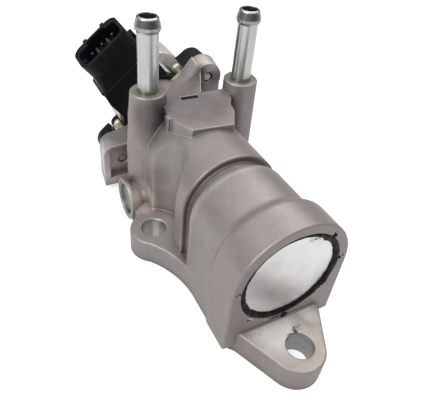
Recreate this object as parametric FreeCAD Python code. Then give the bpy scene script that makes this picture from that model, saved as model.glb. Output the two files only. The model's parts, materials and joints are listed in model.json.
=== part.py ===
"""Exhaust gas recirculation valve, water cooled, worked by a stepper motor.

Frame: millimetres, +Z up. The valve lies on its gasket face (z = 0). The valve axis runs
along +Y at x = 0, z = AXIS_Z, from the closed front end (y = 0) back to the motor.
"""
import FreeCAD, Part
import math
import os

V = FreeCAD.Vector

# Stations along the valve axis
SHOULDER_Y = 30.2
GROOVE_Y = 34.2
STEP_Y = 36.9
BODY_END = 80.0
CAVITY_START = BODY_END + 1.6
FLANGE_Y = 102.0
LUG_FACE = FLANGE_Y - 7.5
LEG_FACE = FLANGE_Y - 10.8
EAR_T = 10.4
CAN_Y = FLANGE_Y + 14.0
CAN_LEN = 22.0
CAN_END = CAN_Y + CAN_LEN
ROTOR_Y = FLANGE_Y + 8.0
ROTOR_LEN = 21.0
ROTOR_END = ROTOR_Y + ROTOR_LEN

# Gasket flange
AXIS_Z = 28.6
BASE_T = 9.4
BOLT_R = 4.5
BOLT_BREAK = 0.4
EAR_R = 8.8
EAR_SHIFT = -0.7
BOLT_FRONT_Y = -11.0
BOLT_FRONT = (0.0, BOLT_FRONT_Y)
BOLT_REAR_X = -21.4
BOLT_REAR_Y = 53.2
BOLT_REAR = (BOLT_REAR_X, BOLT_REAR_Y)
SCALLOP_R = 10.3
SCALLOP_ROUND = 2.2

# Barrel of the casting, radius along the axis
ARCH_R = 20.4
ARCH_LEN = 10.4
ARCH_UNDER = 4.6
FLARE_END = 15.6
FRONT_R = 18.1
GROOVE_R = 16.1
REAR_R = 18.2
EAR_ROOT = 15.3
EDGE = 0.7
CAST_BREAK = 0.4

# Gas side
PLUG_R = 15.4
PLUG_SINK = 0.9
PLUG_T = 2.6
PLUG_SHEET = 1.2
SEALANT_R = 17.2
GROOVE_IN = 16.2
GROOVE_LIP = 1.0
SEALANT_DEPTH = 1.8
STAKE_R = 1.1
STAKE_TIP = 0.3
STAKE_DEEP = 1.0
STAKE_ANGLES = (49, 6, -38, -87, -133, 177)
CHAMBER_R = 14.0
SEAT_R = 11.5
SEAT_FRONT = 33.6
SEAT_T = 4.4
SEAT_CONE = 1.6
THROAT_R = 7.4
OUTLET_R = 8.0
OUTLET_END = 60.0
INLET_Y = 20.5
INLET_R = 10.0
OUTLET_Y = 50.0
OUTLET_PORT_R = 6.6

# Stem, guide and seal
STEM_R = 3.0
STEM_FIT = 0.04
BUSH_R = 5.2
BUSH_END = CAVITY_START - 6.6
SEAL_R = 6.0
SEAL_T = 3.0
RETAINER_T = 1.0
CAVITY_R = 11.2
SPIGOT_LEN = 4.0
STEM_END = FLANGE_Y - SPIGOT_LEN
HEAD_LIP = 0.9
HEAD_T = 2.4
CLIP_T = 0.9
CLIP_DEEP = 0.6
CAP_T = 1.4
CAP_HUB = 2.0

# Coolant side
PIPE_LEFT_X = -14.5
PIPE_LEFT_Y = 76.7
PIPE_LEFT = (PIPE_LEFT_X, PIPE_LEFT_Y)
PIPE_RIGHT_X = 22.7
PIPE_RIGHT_Y = 75.5
PIPE_RIGHT = (PIPE_RIGHT_X, PIPE_RIGHT_Y)
PIPE_R = 3.7
PIPE_BORE = 2.8
BEAD_R = 4.4
PIPE_TOP = 78.6
BEAD_Z = PIPE_TOP - 4.0
BEAD_LEN = 1.0
PIPE_DEPTH = 10.0
BOSS_R = 6.5
BOSS_TOP = 52.7
BOSS_TAPER = 24.0
BOSS_SPREAD = 1.6
BOSS_FOOT = 1.0
COOLANT_R = 3.0
CROSS_Z = 9.0
CROSS_BACK = 3.7
PORT_R = 8.3
PORT_X = -25.7
PORT_RIM = 1.2
PORT_NECK = 5.2
PORT_TAPER = 4.5
CORE_R = 6.8
CORE_T = 0.8
CORE_LEN = 1.5
CORE_DEPTH = 2.0
WEB_HALF = 4.5
WEB_TOP = 44.0

# Top pad
PAD_Z = 48.2
PAD_SLOT = (-2.4, 4.7)
PAD_SLOT_Y = 74.0
PAD_SLOT_W = 1.7
PAD_LIP = 0.35
GATE_X = (-12.2, -11.0)
GATE_Y = 63.9
GATE_W = 2.3
GATE_TOP = PAD_Z - 0.3

# Motor flange of the casting
LUG_R = 6.0
LUG_SPREAD = 1.2
LUG_OUT = 24.8
LUG_ANGLE = 40.0
LUG_FOOT = 24.0
EAR_INNER = 9.0
HUB_R = 14.2
LEG_LEFT = 9.3
LEG_TOP = 9.3
LEG_LOW = 2.6
LEG_RIGHT = -6.0
LEG_WALL = 2.6
LEG_SKIN = 1.0
LEG_SILL = 3.6
LEG_ROOM = 8.0
LEG_LEAN = 1.5
LEG_ROUND = (4.4, 5.4)
LEG_RISE = (0.8, 4.6)
SCREW_R = 2.0
SCREW_SINK = 0.8
HOLE_BREAK = 0.5

# Motor
SPIGOT_FIT = 0.06
ORING_R = 1.0
HOUSING_R = 15.8
EAR_END_R = 5.9
EAR_ROOT_R = 6.6
CAN_R = 16.3
CAN_BULGE = 5.9
CAN_BULGE_R = 15.6
CAN_WALL = 1.2
CAN_RIM = 1.2
CAN_ROUND = 5.0
SKIRT_Y = FLANGE_Y + 4.0
SLEEVE_OUT = 17.9
SLEEVE_R = 1.9
SLEEVE_WALL = 0.6
SLEEVE_COLLAR = 0.35
SLEEVE_COLLAR_LEN = 2.4
SLEEVE_START = FLANGE_Y + 1.6
WINDOW_GAP = 0.15
WINDOW_SKIN = 0.4
WINDOW_SILL = 4.4
MOTOR_BORE = CAN_R - CAN_WALL
SCREW_HEAD_R = 4.0
SCREW_HEAD_T = 3.0

# Rotor and spindle
SPINDLE_R = 2.4
SPINDLE_FLAT = 1.8
SPINDLE_END = ROTOR_END - 1.5
THREAD_FIT = 0.05
NUT_R = 5.0
ROTOR_R = 8.6
ROTOR_GAP = 0.4
BEARING_R = 7.5
BEARING_T = 4.0
BEARING_BACK = 2.0

# Connector, set out radially: OUT is away from the valve axis, SIDE is across
CONN_ANGLE = 130.0
CONN_MOUTH = 37.4
CONN_SIDE = (-8.8, 13.0)
CONN_Y = (FLANGE_Y - 2.0, FLANGE_Y + 14.0)
CONN_ROUND = 4.2
CONN_WALL = 1.4
CONN_BACK = 3.6
CONN_DEPTH = 11.0
CONN_STRAIGHT = 6.4
CONN_RIDGE = 23.0
CONN_WAIST = 2.2
CONN_LEAN = 0.9
CONN_ROOT = (-12.3, 13.6)
CONN_ROOT_TOP = 17.4
CONN_ROOT_LOW = 10.0
CONN_ROOT_Y = (FLANGE_Y + 0.2, FLANGE_Y + 25.0)
RIDGE_H = 0.45
RIB_T = 0.8
RIB_LEN = 5.6
RIB_SINK = 0.6
KEY_SIDES = (-2.0, 7.2)
KEY_W = 1.8
KEY_H = 1.6
TAB_T = 1.5
TAB_W = 4.4
TAB_H = 6.0
TAB_DOWN = 2.8
PIN_W = 0.8
PIN_TIP = 36.0
PIN_COLUMNS = (-2.7, 2.6, 7.9)
PIN_ROWS = (FLANGE_Y + 0.8, FLANGE_Y + 6.2)

# Return spring
SPRING_R = 8.2
WIRE_R = 0.7
SPRING_TURNS = 3.5
SPRING_DEAD = 0.5
SPRING_STEPS = 24
WIRE_SIDES = 8


def cyl_y(radius, y0, y1, x=0.0, z=AXIS_Z):
    return Part.makeCylinder(radius, y1 - y0, V(x, y0, z), V(0, 1, 0))


def cyl_z(radius, z0, z1, x, y):
    return Part.makeCylinder(radius, z1 - z0, V(x, y, z0), V(0, 0, 1))


def cyl_x(radius, x0, x1, y, z):
    return Part.makeCylinder(radius, x1 - x0, V(x0, y, z), V(1, 0, 0))


def ring_y(outer, inner, y0, y1, x=0.0, z=AXIS_Z):
    return cyl_y(outer, y0, y1, x, z).cut(cyl_y(inner, y0 - 1, y1 + 1, x, z))


def block(x0, x1, y0, y1, z0, z1):
    return Part.makeBox(x1 - x0, y1 - y0, z1 - z0, V(x0, y0, z0))


def prism_z(points, z0, z1):
    wire = Part.makePolygon([V(x, y, z0) for x, y in points] + [V(points[0][0], points[0][1], z0)])
    return Part.Face(wire).extrude(V(0, 0, z1 - z0))


def revolve_y(points, x=0.0, z=AXIS_Z):
    """Turns a closed outline of (radius, y) points about the valve axis."""
    wire = Part.makePolygon([V(x + r, y, z) for r, y in points] + [V(x + points[0][0], points[0][1], z)])
    return Part.Face(wire).revolve(V(x, 0, z), V(0, 1, 0), 360)


def revolve_z(points, x, y):
    """Turns a closed outline of (radius, z) points about a vertical axis."""
    wire = Part.makePolygon([V(x + r, y, z) for r, z in points] + [V(x + points[0][0], y, points[0][1])])
    return Part.Face(wire).revolve(V(x, y, 0), V(0, 0, 1), 360)


def join(shapes):
    result = shapes[0].fuse(shapes[1:])
    return result.removeSplitter()


def polar(angle, out, side=0.0):
    """Point (x, z) at a distance out from the valve axis and a sideways shift."""
    a = math.radians(angle)
    x = out * math.cos(a) + side * math.sin(a)
    z = AXIS_Z + out * math.sin(a) - side * math.cos(a)
    return x, z


def soften(shape, radius, wanted):
    """Rounds the edges that the test picks out."""
    edges = [e for e in shape.Edges if wanted(e)]
    if not edges:
        return shape
    try:
        done = shape.makeFillet(radius, edges)
        if done.isValid() and len(done.Solids) == len(shape.Solids):
            return done
    except Exception:
        pass
    return shape


def middle(edge):
    return edge.valueAt((edge.FirstParameter + edge.LastParameter) / 2)


def hull_face(c0, r0, c1, r1, y):
    """Flat face with true arcs round two circles and their common tangents."""
    dx = c1[0] - c0[0]
    dz = c1[1] - c0[1]
    length = math.hypot(dx, dz)
    base = math.atan2(dz, dx)
    spread = math.acos((r0 - r1) / length)

    def on(c, r, a):
        return V(c[0] + r * math.cos(a), y, c[1] + r * math.sin(a))

    a0 = base + spread
    a1 = base - spread + 2 * math.pi
    arc0 = Part.Arc(on(c0, r0, a0), on(c0, r0, (a0 + a1) / 2), on(c0, r0, a1)).toShape()
    line0 = Part.makeLine(on(c0, r0, a1), on(c1, r1, a1))
    arc1 = Part.Arc(on(c1, r1, base - spread), on(c1, r1, base), on(c1, r1, a0)).toShape()
    line1 = Part.makeLine(on(c1, r1, a0), on(c0, r0, a0))
    return Part.Face(Part.Wire([arc0, line0, arc1, line1]))


def barrel_edges(side):
    """Edges of the barrel's outline in plan, from the front end to the rear one."""
    def at(r, y):
        return V(side * r, y, AXIS_Z)

    height = ARCH_R - FRONT_R
    length = FLARE_END - ARCH_LEN
    bend = (length ** 2 + height ** 2) / (4 * height)
    turn = math.atan2(height, length)
    crest = at(ARCH_R - bend * (1 - math.cos(turn)), ARCH_LEN + bend * math.sin(turn))
    middle_flare = at((ARCH_R + FRONT_R) / 2, (ARCH_LEN + FLARE_END) / 2)
    foot = at(FRONT_R + bend * (1 - math.cos(turn)), FLARE_END - bend * math.sin(turn))
    drop = FRONT_R - GROOVE_R
    run = GROOVE_Y - SHOULDER_Y
    mid_round = at(GROOVE_R + 0.72 * drop, SHOULDER_Y + 0.66 * run)
    edges = [
        Part.Arc(at(ARCH_R - EDGE, 0), at(ARCH_R - 0.3 * EDGE, 0.3 * EDGE), at(ARCH_R, EDGE)).toShape(),
        Part.makeLine(at(ARCH_R, EDGE), at(ARCH_R, ARCH_LEN)),
        Part.Arc(at(ARCH_R, ARCH_LEN), crest, middle_flare).toShape(),
        Part.Arc(middle_flare, foot, at(FRONT_R, FLARE_END)).toShape(),
        Part.makeLine(at(FRONT_R, FLARE_END), at(FRONT_R, SHOULDER_Y)),
        Part.Arc(at(FRONT_R, SHOULDER_Y), mid_round, at(GROOVE_R, GROOVE_Y)).toShape(),
        Part.makeLine(at(GROOVE_R, GROOVE_Y), at(GROOVE_R, STEP_Y)),
        Part.makeLine(at(GROOVE_R, STEP_Y), at(REAR_R - EDGE, STEP_Y)),
        Part.Arc(at(REAR_R - EDGE, STEP_Y), at(REAR_R - 0.3 * EDGE, STEP_Y + 0.3 * EDGE),
                 at(REAR_R, STEP_Y + EDGE)).toShape(),
        Part.makeLine(at(REAR_R, STEP_Y + EDGE), at(REAR_R, BODY_END)),
    ]
    return edges


def barrel():
    """Barrel with a round top and upright flanks, made from one outline."""
    front = V(0, 0, AXIS_Z)
    rear = V(0, BODY_END, AXIS_Z)
    right = barrel_edges(1)
    wire = Part.Wire([Part.makeLine(front, V(ARCH_R - EDGE, 0, AXIS_Z))] + right
                     + [Part.makeLine(V(REAR_R, BODY_END, AXIS_Z), rear), Part.makeLine(rear, front)])
    face = Part.Face(wire)
    crown = face.revolve(front, V(0, 1, 0), -180)
    flank = face.extrude(V(0, 0, -AXIS_Z))
    other = flank.mirror(V(0, 0, 0), V(1, 0, 0))
    under = block(-ARCH_R - 1, ARCH_R + 1, -1, FLARE_END + 1, -1, ARCH_UNDER)
    lower = flank.fuse(other).cut(under)
    return join([crown, lower])


def tangent_point(px, py, cx, cy, r, side):
    """Point where the line from P touches a circle, on the given side."""
    dx = px - cx
    dy = py - cy
    length = math.hypot(dx, dy)
    a = math.atan2(dy, dx) + side * math.acos(r / length)
    return cx + r * math.cos(a), cy + r * math.sin(a)


def base_plate():
    """Gasket flange with the front ear and the rear ear."""
    fx, fy = BOLT_FRONT
    cx = fx + EAR_SHIFT
    left = tangent_point(-EAR_ROOT, 0.2, cx, fy, EAR_R, 1)
    right = tangent_point(EAR_ROOT, 0.2, cx, fy, EAR_R, -1)
    corners = [V(-EAR_ROOT, 0.2, 0), V(left[0], left[1], 0), V(right[0], right[1], 0), V(EAR_ROOT, 0.2, 0),
               V(FRONT_R, 3.5, 0), V(FRONT_R, BODY_END, 0), V(-FRONT_R, BODY_END, 0), V(-FRONT_R, 3.5, 0)]
    wire = Part.Wire([
        Part.makeLine(corners[0], corners[1]),
        Part.Arc(corners[1], V(cx, fy - EAR_R, 0), corners[2]).toShape(),
        Part.makeLine(corners[2], corners[3]),
        Part.makeLine(corners[3], corners[4]),
        Part.makeLine(corners[4], corners[5]),
        Part.makeLine(corners[5], corners[6]),
        Part.makeLine(corners[6], corners[7]),
        Part.makeLine(corners[7], corners[0]),
    ])
    strip = Part.Face(wire).extrude(V(0, 0, BASE_T))
    rx, ry = BOLT_REAR
    rear_tip = cyl_z(EAR_R, 0.0, BASE_T, rx, ry)
    plate = join([strip, rear_tip, rear_web()])
    return soften(plate, EDGE, lambda e: middle(e).z > BASE_T - 0.01)


def rear_web():
    """Fills in between the rear ear and the flank, hollowed like the cast outline."""
    rx, ry = BOLT_REAR
    a = math.radians(238)
    start = V(rx + EAR_R * math.cos(a), ry + EAR_R * math.sin(a), 0)
    end = V(-FRONT_R, 26.0, 0)
    mid = V((start.x + end.x) / 2 + 2.0, (start.y + end.y) / 2 - 0.4, 0)
    inner_front = V(-FRONT_R + 4, 26.0, 0)
    inner_back = V(-FRONT_R + 4, ry + EAR_R, 0)
    back = V(rx, ry + EAR_R, 0)
    centre = V(rx, ry, 0)
    wire = Part.Wire([
        Part.Arc(start, mid, end).toShape(),
        Part.makeLine(end, inner_front),
        Part.makeLine(inner_front, inner_back),
        Part.makeLine(inner_back, back),
        Part.makeLine(back, centre),
        Part.makeLine(centre, start),
    ])
    return Part.Face(wire).extrude(V(0, 0, BASE_T))


def boss_column(x, y, foot, spread):
    """Upright boss with draft down to mid height and a broken top edge."""
    knee = BOSS_TOP - BOSS_TAPER
    return revolve_z([(0, foot), (BOSS_R + spread, foot), (BOSS_R + spread, knee),
                      (BOSS_R, BOSS_TOP - CAST_BREAK), (BOSS_R - CAST_BREAK, BOSS_TOP), (0, BOSS_TOP)], x, y)


def coolant_bosses():
    """Upright bosses of the two coolant pipes, the low port and its cross channel casing."""
    lx, ly = PIPE_LEFT
    rx, ry = PIPE_RIGHT
    left = boss_column(lx, ly, CROSS_Z, BOSS_SPREAD)
    heel = Part.makeCone(PORT_NECK, BOSS_R + BOSS_SPREAD, PORT_NECK, V(lx, ly, CROSS_Z - PORT_NECK))
    right = boss_column(rx, ry, BOSS_FOOT, CAST_BREAK)
    web_right = block(0, rx, ry - WEB_HALF, ry + WEB_HALF, BOSS_FOOT, WEB_TOP)
    web_left = block(lx, 0, ly - WEB_HALF, ly + WEB_HALF, CROSS_Z, WEB_TOP)
    return join([left, heel, right, web_right, web_left, cross_casing()])


def cross_casing():
    """Tube round the cross channel with a flared rim at the left port."""
    y = PIPE_LEFT_Y - CROSS_BACK
    rim = cyl_x(PORT_R, PORT_X, PORT_X + PORT_RIM, y, CROSS_Z)
    flare = Part.makeCone(PORT_R, PORT_NECK, PORT_TAPER, V(PORT_X + PORT_RIM, y, CROSS_Z), V(1, 0, 0))
    tube = cyl_x(PORT_NECK, PORT_X, PIPE_RIGHT_X, y, CROSS_Z)
    web = block(PORT_X + PORT_RIM, PIPE_LEFT_X, BOLT_REAR_Y, y, BOSS_FOOT, BASE_T - CAST_BREAK)
    return join([rim, flare, tube, web])


def top_pad():
    """Flat pad with a cast slot and its lip."""
    outline = [(-11.4, 66.7), (-11.0, 61.6), (-7.6, 54.2), (8.1, 53.0), (12.9, 61.5), (13.7, 65.8),
               (16.8, 71.0), (16.8, BODY_END - 2.2), (-8.5, BODY_END - 2.2), (-10.5, 72.0)]
    pad = prism_z(outline, AXIS_Z + 6, PAD_Z)
    pad = soften(pad, CAST_BREAK, lambda e: middle(e).z > PAD_Z - 0.01)
    x0, x1 = PAD_SLOT
    back = PAD_SLOT_Y + PAD_SLOT_W
    lip = block(x0 - CAST_BREAK, x1 + CAST_BREAK, back, back + 0.7, PAD_Z - 1, PAD_Z + PAD_LIP)
    slot = block(x0, x1, PAD_SLOT_Y, back, PAD_Z - PAD_SLOT_W, PAD_Z + 1)
    return pad.fuse(lip).cut(slot)


def gate_rib():
    """Small upright rib left by the die on the pad's side."""
    return block(GATE_X[0], GATE_X[1], GATE_Y, GATE_Y + GATE_W, AXIS_Z + 8, GATE_TOP)


def lug_centre(sign):
    return polar(LUG_ANGLE, sign * LUG_OUT)


def saddle_wire(y, lift, points):
    """Section across the shoulder that rises to the upper lug."""
    top = Part.BSplineCurve()
    top.interpolate([V(x, y, z + lift) for x, z in points])
    first = V(points[0][0], y, points[0][1] + lift)
    last = V(points[-1][0], y, points[-1][1] + lift)
    low_a = V(first.x, y, AXIS_Z)
    low_b = V(last.x, y, AXIS_Z)
    return Part.Wire([Part.makeLine(low_a, first), top.toShape(), Part.makeLine(last, low_b),
                      Part.makeLine(low_b, low_a)])


def shoulder():
    """Ramp from behind the pad up to the upper lug."""
    pad = [(-8.0, 42.0), (-2.0, 45.4), (3.0, 46.6), (7.0, 46.8)]
    front = [(-7.0, 40.4), (1.0, 42.6), (7.4, 44.0), (11.4, 46.0), (15.2, 49.1)]
    rear = [(-6.0, 39.8), (1.0, 41.1), (7.2, 42.7), (11.0, 46.6), (14.6, 51.0)]
    sections = [saddle_wire(BODY_END - 3, 0.0, pad), saddle_wire(LUG_FACE, 0.0, front),
                saddle_wire(FLANGE_Y, 0.0, rear)]
    return Part.makeLoft(sections, True, True)


def leg_section(y, inset, round_r, rise):
    """Upright section of the lower lug, rounded at its upper corner."""
    cx, cz = lug_centre(-1)
    left = cx - LEG_LEFT + inset
    top = cz + LEG_TOP
    nip = round_r * (1 - math.sqrt(0.5))
    corner = V(left + round_r, y, top)
    shelf = V(LEG_RIGHT, y, top + rise)
    heel = V(LEG_RIGHT, y, LEG_LOW)
    toe = V(left, y, LEG_LOW)
    side = V(left, y, top - round_r)
    return Part.Wire([
        Part.makeLine(toe, side),
        Part.Arc(side, V(left + nip, y, top - nip), corner).toShape(),
        Part.makeLine(corner, shelf),
        Part.makeLine(shelf, heel),
        Part.makeLine(heel, toe),
    ])


def lower_leg():
    """Thick lug below the motor's left, with a hollow in its front."""
    cx, cz = lug_centre(-1)
    left = cx - LEG_LEFT + LEG_WALL
    roof = cz + LEG_TOP - LEG_SKIN
    front = leg_section(LEG_FACE, 0.0, LEG_ROUND[0], LEG_RISE[0])
    rear = leg_section(FLANGE_Y, LEG_LEAN, LEG_ROUND[1], LEG_RISE[1])
    leg = Part.makeLoft([front, rear], True, True)
    room = block(left, cx + LEG_ROOM, LEG_FACE - 1, LUG_FACE, LEG_LOW + LEG_SILL, roof)
    room = soften(room, LEG_WALL, lambda e: middle(e).z > roof - 0.1 and middle(e).x < left + 0.1)
    return leg.cut(room)


def motor_flange():
    """Hub and the two lugs that carry the motor."""
    deep = FLANGE_Y - LUG_FACE
    hub = cyl_y(HUB_R, BODY_END - 4, FLANGE_Y)
    ux, uz = lug_centre(1)
    lug = Part.makeCone(LUG_R, LUG_R + LUG_SPREAD, deep, V(ux, LUG_FACE, uz), V(0, 1, 0))
    root = polar(LUG_ANGLE, LUG_OUT - HUB_R)
    slim = hull_face(root, LUG_R - 2 * LUG_SPREAD, (ux, uz), LUG_R - CAST_BREAK, LUG_FACE)
    wide = hull_face(root, LUG_R + LUG_SPREAD, (ux, uz), LUG_R - CAST_BREAK, FLANGE_Y)
    neck = Part.makeLoft([slim.OuterWire, wide.OuterWire], True, True)
    leg_up = block(ux - LUG_R - 2 * LUG_SPREAD, ux + LUG_R - CAST_BREAK, LUG_FACE, FLANGE_Y, LUG_FOOT, uz)
    return join([hub, lug, neck, leg_up, shoulder(), lower_leg()])


def stake_marks():
    """Punch marks round the front bore."""
    marks = []
    for angle in STAKE_ANGLES:
        a = math.radians(angle)
        r = SEALANT_R + STAKE_TIP * 3
        x = r * math.cos(a)
        z = AXIS_Z + r * math.sin(a)
        marks.append(Part.makeCone(STAKE_R, STAKE_TIP, STAKE_DEEP, V(x, -0.05, z), V(0, 1, 0)))
    return marks


def sealant_room():
    """Groove round the disc, flared at the face."""
    return revolve_y([(0, -1), (SEALANT_R, -1), (SEALANT_R, 0), (GROOVE_IN, GROOVE_LIP),
                      (GROOVE_IN, SEALANT_DEPTH),
                      (0, SEALANT_DEPTH)])


def gas_passages():
    """Bores on the valve axis and the two ports in the gasket face."""
    cuts = [
        sealant_room(),
        cyl_y(PLUG_R, -1, PLUG_SINK + PLUG_T),
        cyl_y(CHAMBER_R, PLUG_SINK + PLUG_T - 0.1, SEAT_FRONT - 3),
        cyl_y(SEAT_R, SEAT_FRONT - 3.1, SEAT_FRONT + SEAT_T),
        cyl_y(OUTLET_R, SEAT_FRONT + SEAT_T - 0.1, OUTLET_END),
        cyl_z(INLET_R, -1, AXIS_Z, 0, INLET_Y),
        cyl_z(OUTLET_PORT_R, -1, AXIS_Z, 0, OUTLET_Y),
        cyl_y(BUSH_R, OUTLET_END - 0.1, BUSH_END),
        cyl_y(SEAL_R, BUSH_END - 0.1, CAVITY_START),
        cyl_y(CAVITY_R, CAVITY_START - 0.1, FLANGE_Y + 1),
    ]
    return cuts


def coolant_passages():
    lx, ly = PIPE_LEFT
    rx, ry = PIPE_RIGHT
    cross_y = ly - CROSS_BACK
    cuts = [
        cyl_z(PIPE_R, BOSS_TOP - PIPE_DEPTH, BOSS_TOP + 1, lx, ly),
        cyl_z(PIPE_R, BOSS_TOP - PIPE_DEPTH, BOSS_TOP + 1, rx, ry),
        cyl_z(COOLANT_R, CROSS_Z, BOSS_TOP, lx, ly),
        cyl_z(COOLANT_R, CROSS_Z, BOSS_TOP, rx, ry),
        cyl_x(COOLANT_R, PORT_X, rx, cross_y, CROSS_Z),
        cyl_x(CORE_R, PORT_X - 1, PORT_X + CORE_DEPTH, cross_y, CROSS_Z),
        cyl_x(CORE_R + CAST_BREAK, PORT_X - 1, PORT_X + CAST_BREAK, cross_y, CROSS_Z),
    ]
    return cuts


def valve_body():
    """The casting: everything that is one piece of aluminium."""
    body = join([barrel(), base_plate(), coolant_bosses(), top_pad(), gate_rib(), motor_flange()])
    rx, ry = BOLT_REAR
    fx, fy = BOLT_FRONT
    scallop = cyl_z(SCALLOP_R, BASE_T, BOSS_TOP + 20, rx, ry)
    body = body.cut(scallop)
    body = soften(body, SCALLOP_ROUND, scallop_edge)
    cuts = gas_passages() + coolant_passages() + stake_marks()
    cuts.append(cyl_z(BOLT_R, -1, BASE_T + 1, fx, fy))
    cuts.append(cyl_z(BOLT_R, -1, BASE_T + 1, rx, ry))
    cuts.append(Part.makeCone(BOLT_R, BOLT_R + 2 * BOLT_BREAK, 2 * BOLT_BREAK, V(rx, ry, BASE_T - BOLT_BREAK),
                              V(0, 0, 1)))
    for sign in (1, -1):
        cx, cz = lug_centre(sign)
        cuts.append(cyl_y(SCREW_R, LUG_FACE - 1, FLANGE_Y + 1, cx, cz))
        cuts.append(Part.makeCone(SCREW_R + 2 * HOLE_BREAK, SCREW_R, 2 * HOLE_BREAK,
                                  V(cx, LUG_FACE - HOLE_BREAK, cz), V(0, 1, 0)))
    for c in cuts:
        body = body.cut(c)
    return body


def scallop_edge(edge):
    """Upright edges where the wrench clearance leaves the barrel."""
    p = middle(edge)
    rx, ry = BOLT_REAR
    off = abs(math.hypot(p.x - rx, p.y - ry) - SCALLOP_R)
    return off < 0.05 and p.z > BASE_T + 0.5 and edge.Length > 8


def end_plug():
    """Pressed disc that closes the front bore."""
    y0 = PLUG_SINK
    inner = PLUG_R - PLUG_SHEET
    points = [(0, y0), (PLUG_R, y0), (PLUG_R, y0 + PLUG_T), (inner, y0 + PLUG_T),
              (inner, y0 + PLUG_SHEET), (0, y0 + PLUG_SHEET)]
    return revolve_y(points)


def plug_sealant():
    """Bead of sealant in the groove round the disc, laid thicker at the lower right."""
    ring = revolve_y([(PLUG_R, SEALANT_DEPTH), (GROOVE_IN, SEALANT_DEPTH), (GROOVE_IN, GROOVE_LIP),
                      (SEALANT_R - 0.05, 0.05), (PLUG_R - 0.6, 0.3), (PLUG_R - 0.6, PLUG_SINK),
                      (PLUG_R, PLUG_SINK)])
    shift = 0.6
    return ring.common(cyl_y(GROOVE_IN + 0.35, -1, SEALANT_DEPTH + 1, shift, AXIS_Z - shift))


def coolant_pipe(place):
    """Steel pipe with a hose bead, pressed into its boss."""
    x, y = place
    z0 = BOSS_TOP - PIPE_DEPTH
    nose = (PIPE_R + PIPE_BORE) / 2
    outer = [(PIPE_BORE, z0), (PIPE_R, z0), (PIPE_R, BEAD_Z - BEAD_LEN), (BEAD_R, BEAD_Z),
             (BEAD_R, BEAD_Z + BEAD_LEN), (PIPE_R, PIPE_TOP - CAST_BREAK), (nose, PIPE_TOP),
             (PIPE_BORE, PIPE_TOP)]
    return revolve_z(outer, x, y)


def side_core_plug():
    """Pressed cup that closes the cross drilling."""
    y = PIPE_LEFT_Y - CROSS_BACK
    x0 = PORT_X + CORE_DEPTH - CORE_LEN
    cup = cyl_x(CORE_R, x0, PORT_X + CORE_DEPTH, y, CROSS_Z)
    return cup.cut(cyl_x(CORE_R - CORE_T, x0 - 1, PORT_X + CORE_DEPTH - CORE_T, y, CROSS_Z))


def valve_seat():
    """Steel ring with a cone that the valve head closes on."""
    y0 = SEAT_FRONT
    y1 = SEAT_FRONT + SEAT_T
    points = [(THROAT_R, y1), (SEAT_R, y1), (SEAT_R, y0), (THROAT_R + SEAT_CONE, y0),
              (THROAT_R, y0 + SEAT_CONE)]
    return revolve_y(points)


def valve_poppet():
    """Valve head and stem in one piece; it closes towards the motor."""
    y0 = SEAT_FRONT
    gap = STEM_FIT / 2
    rim = THROAT_R + SEAT_CONE - 0.1 - gap
    back = y0 + SEAT_CONE + STEM_R
    front = y0 - HEAD_T
    head = revolve_y([(0, front), (rim - HEAD_LIP, front), (rim, front + HEAD_LIP), (rim, y0 + 0.1),
                      (THROAT_R - gap, y0 + SEAT_CONE), (STEM_R + HEAD_LIP, y0 + SEAT_CONE + HEAD_LIP),
                      (STEM_R, back), (0, back)])
    stem = cyl_y(STEM_R, y0, STEM_END)
    groove = ring_y(STEM_R + 1, STEM_R - CLIP_DEEP, STEM_END - 2 * CLIP_T, STEM_END - CLIP_T)
    return join([head, stem]).cut(groove)


def stem_bush():
    return ring_y(BUSH_R, STEM_R + STEM_FIT, OUTLET_END, BUSH_END)


def stem_seal():
    """Ring that wipes the stem behind the guide bush."""
    y0 = BUSH_END
    return ring_y(SEAL_R, STEM_R + STEM_FIT, y0, y0 + SEAL_T)


def seal_keeper():
    """Pressed washer that keeps the seal in its bore."""
    y0 = BUSH_END + SEAL_T
    return ring_y(SEAL_R, STEM_R + CLIP_DEEP, y0, y0 + RETAINER_T)


def spring_cap():
    """Dished cap on the stem end that the return spring pushes."""
    y1 = STEM_END - 2 * CLIP_T
    rim = SPRING_R + 2 * WIRE_R
    points = [(STEM_R, y1), (rim, y1), (rim, y1 - CAP_T), (STEM_R + 2 * CAP_T, y1 - CAP_T),
              (STEM_R + 1.5 * CAP_T, y1 - CAP_T - CAP_HUB), (STEM_R, y1 - CAP_T - CAP_HUB)]
    return revolve_y(points)


def stem_clip():
    """Spring clip in the groove near the end of the stem."""
    return ring_y(STEM_R + 1.6, STEM_R - CLIP_DEEP, STEM_END - 2 * CLIP_T, STEM_END - CLIP_T)


def spring_path():
    """Points along the wire: a flat end turn, an even rise and a flat end turn."""
    y0 = CAVITY_START + WIRE_R
    y1 = STEM_END - 2 * CLIP_T - CAP_T - WIRE_R
    turns = SPRING_TURNS + 2 * SPRING_DEAD
    count = int(round(turns * SPRING_STEPS))
    points = []
    for i in range(count + 1):
        turn = turns * i / count
        live = min(max((turn - SPRING_DEAD) / SPRING_TURNS, 0.0), 1.0)
        angle = 2 * math.pi * turn
        points.append(V(SPRING_R * math.cos(angle), y0 + (y1 - y0) * live, AXIS_Z + SPRING_R * math.sin(angle)))
    return points


def return_spring():
    """Coil spring between the casting and the cap, drawn with the valve shut."""
    points = spring_path()
    start = points[0]
    ring = [start + V(WIRE_R * math.cos(a), WIRE_R * math.sin(a), 0)
            for a in [2 * math.pi * i / WIRE_SIDES for i in range(WIRE_SIDES)]]
    section = Part.makePolygon(ring + [ring[0]])
    return Part.makePolygon(points).makePipeShell([section], True, True, 1)


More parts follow.
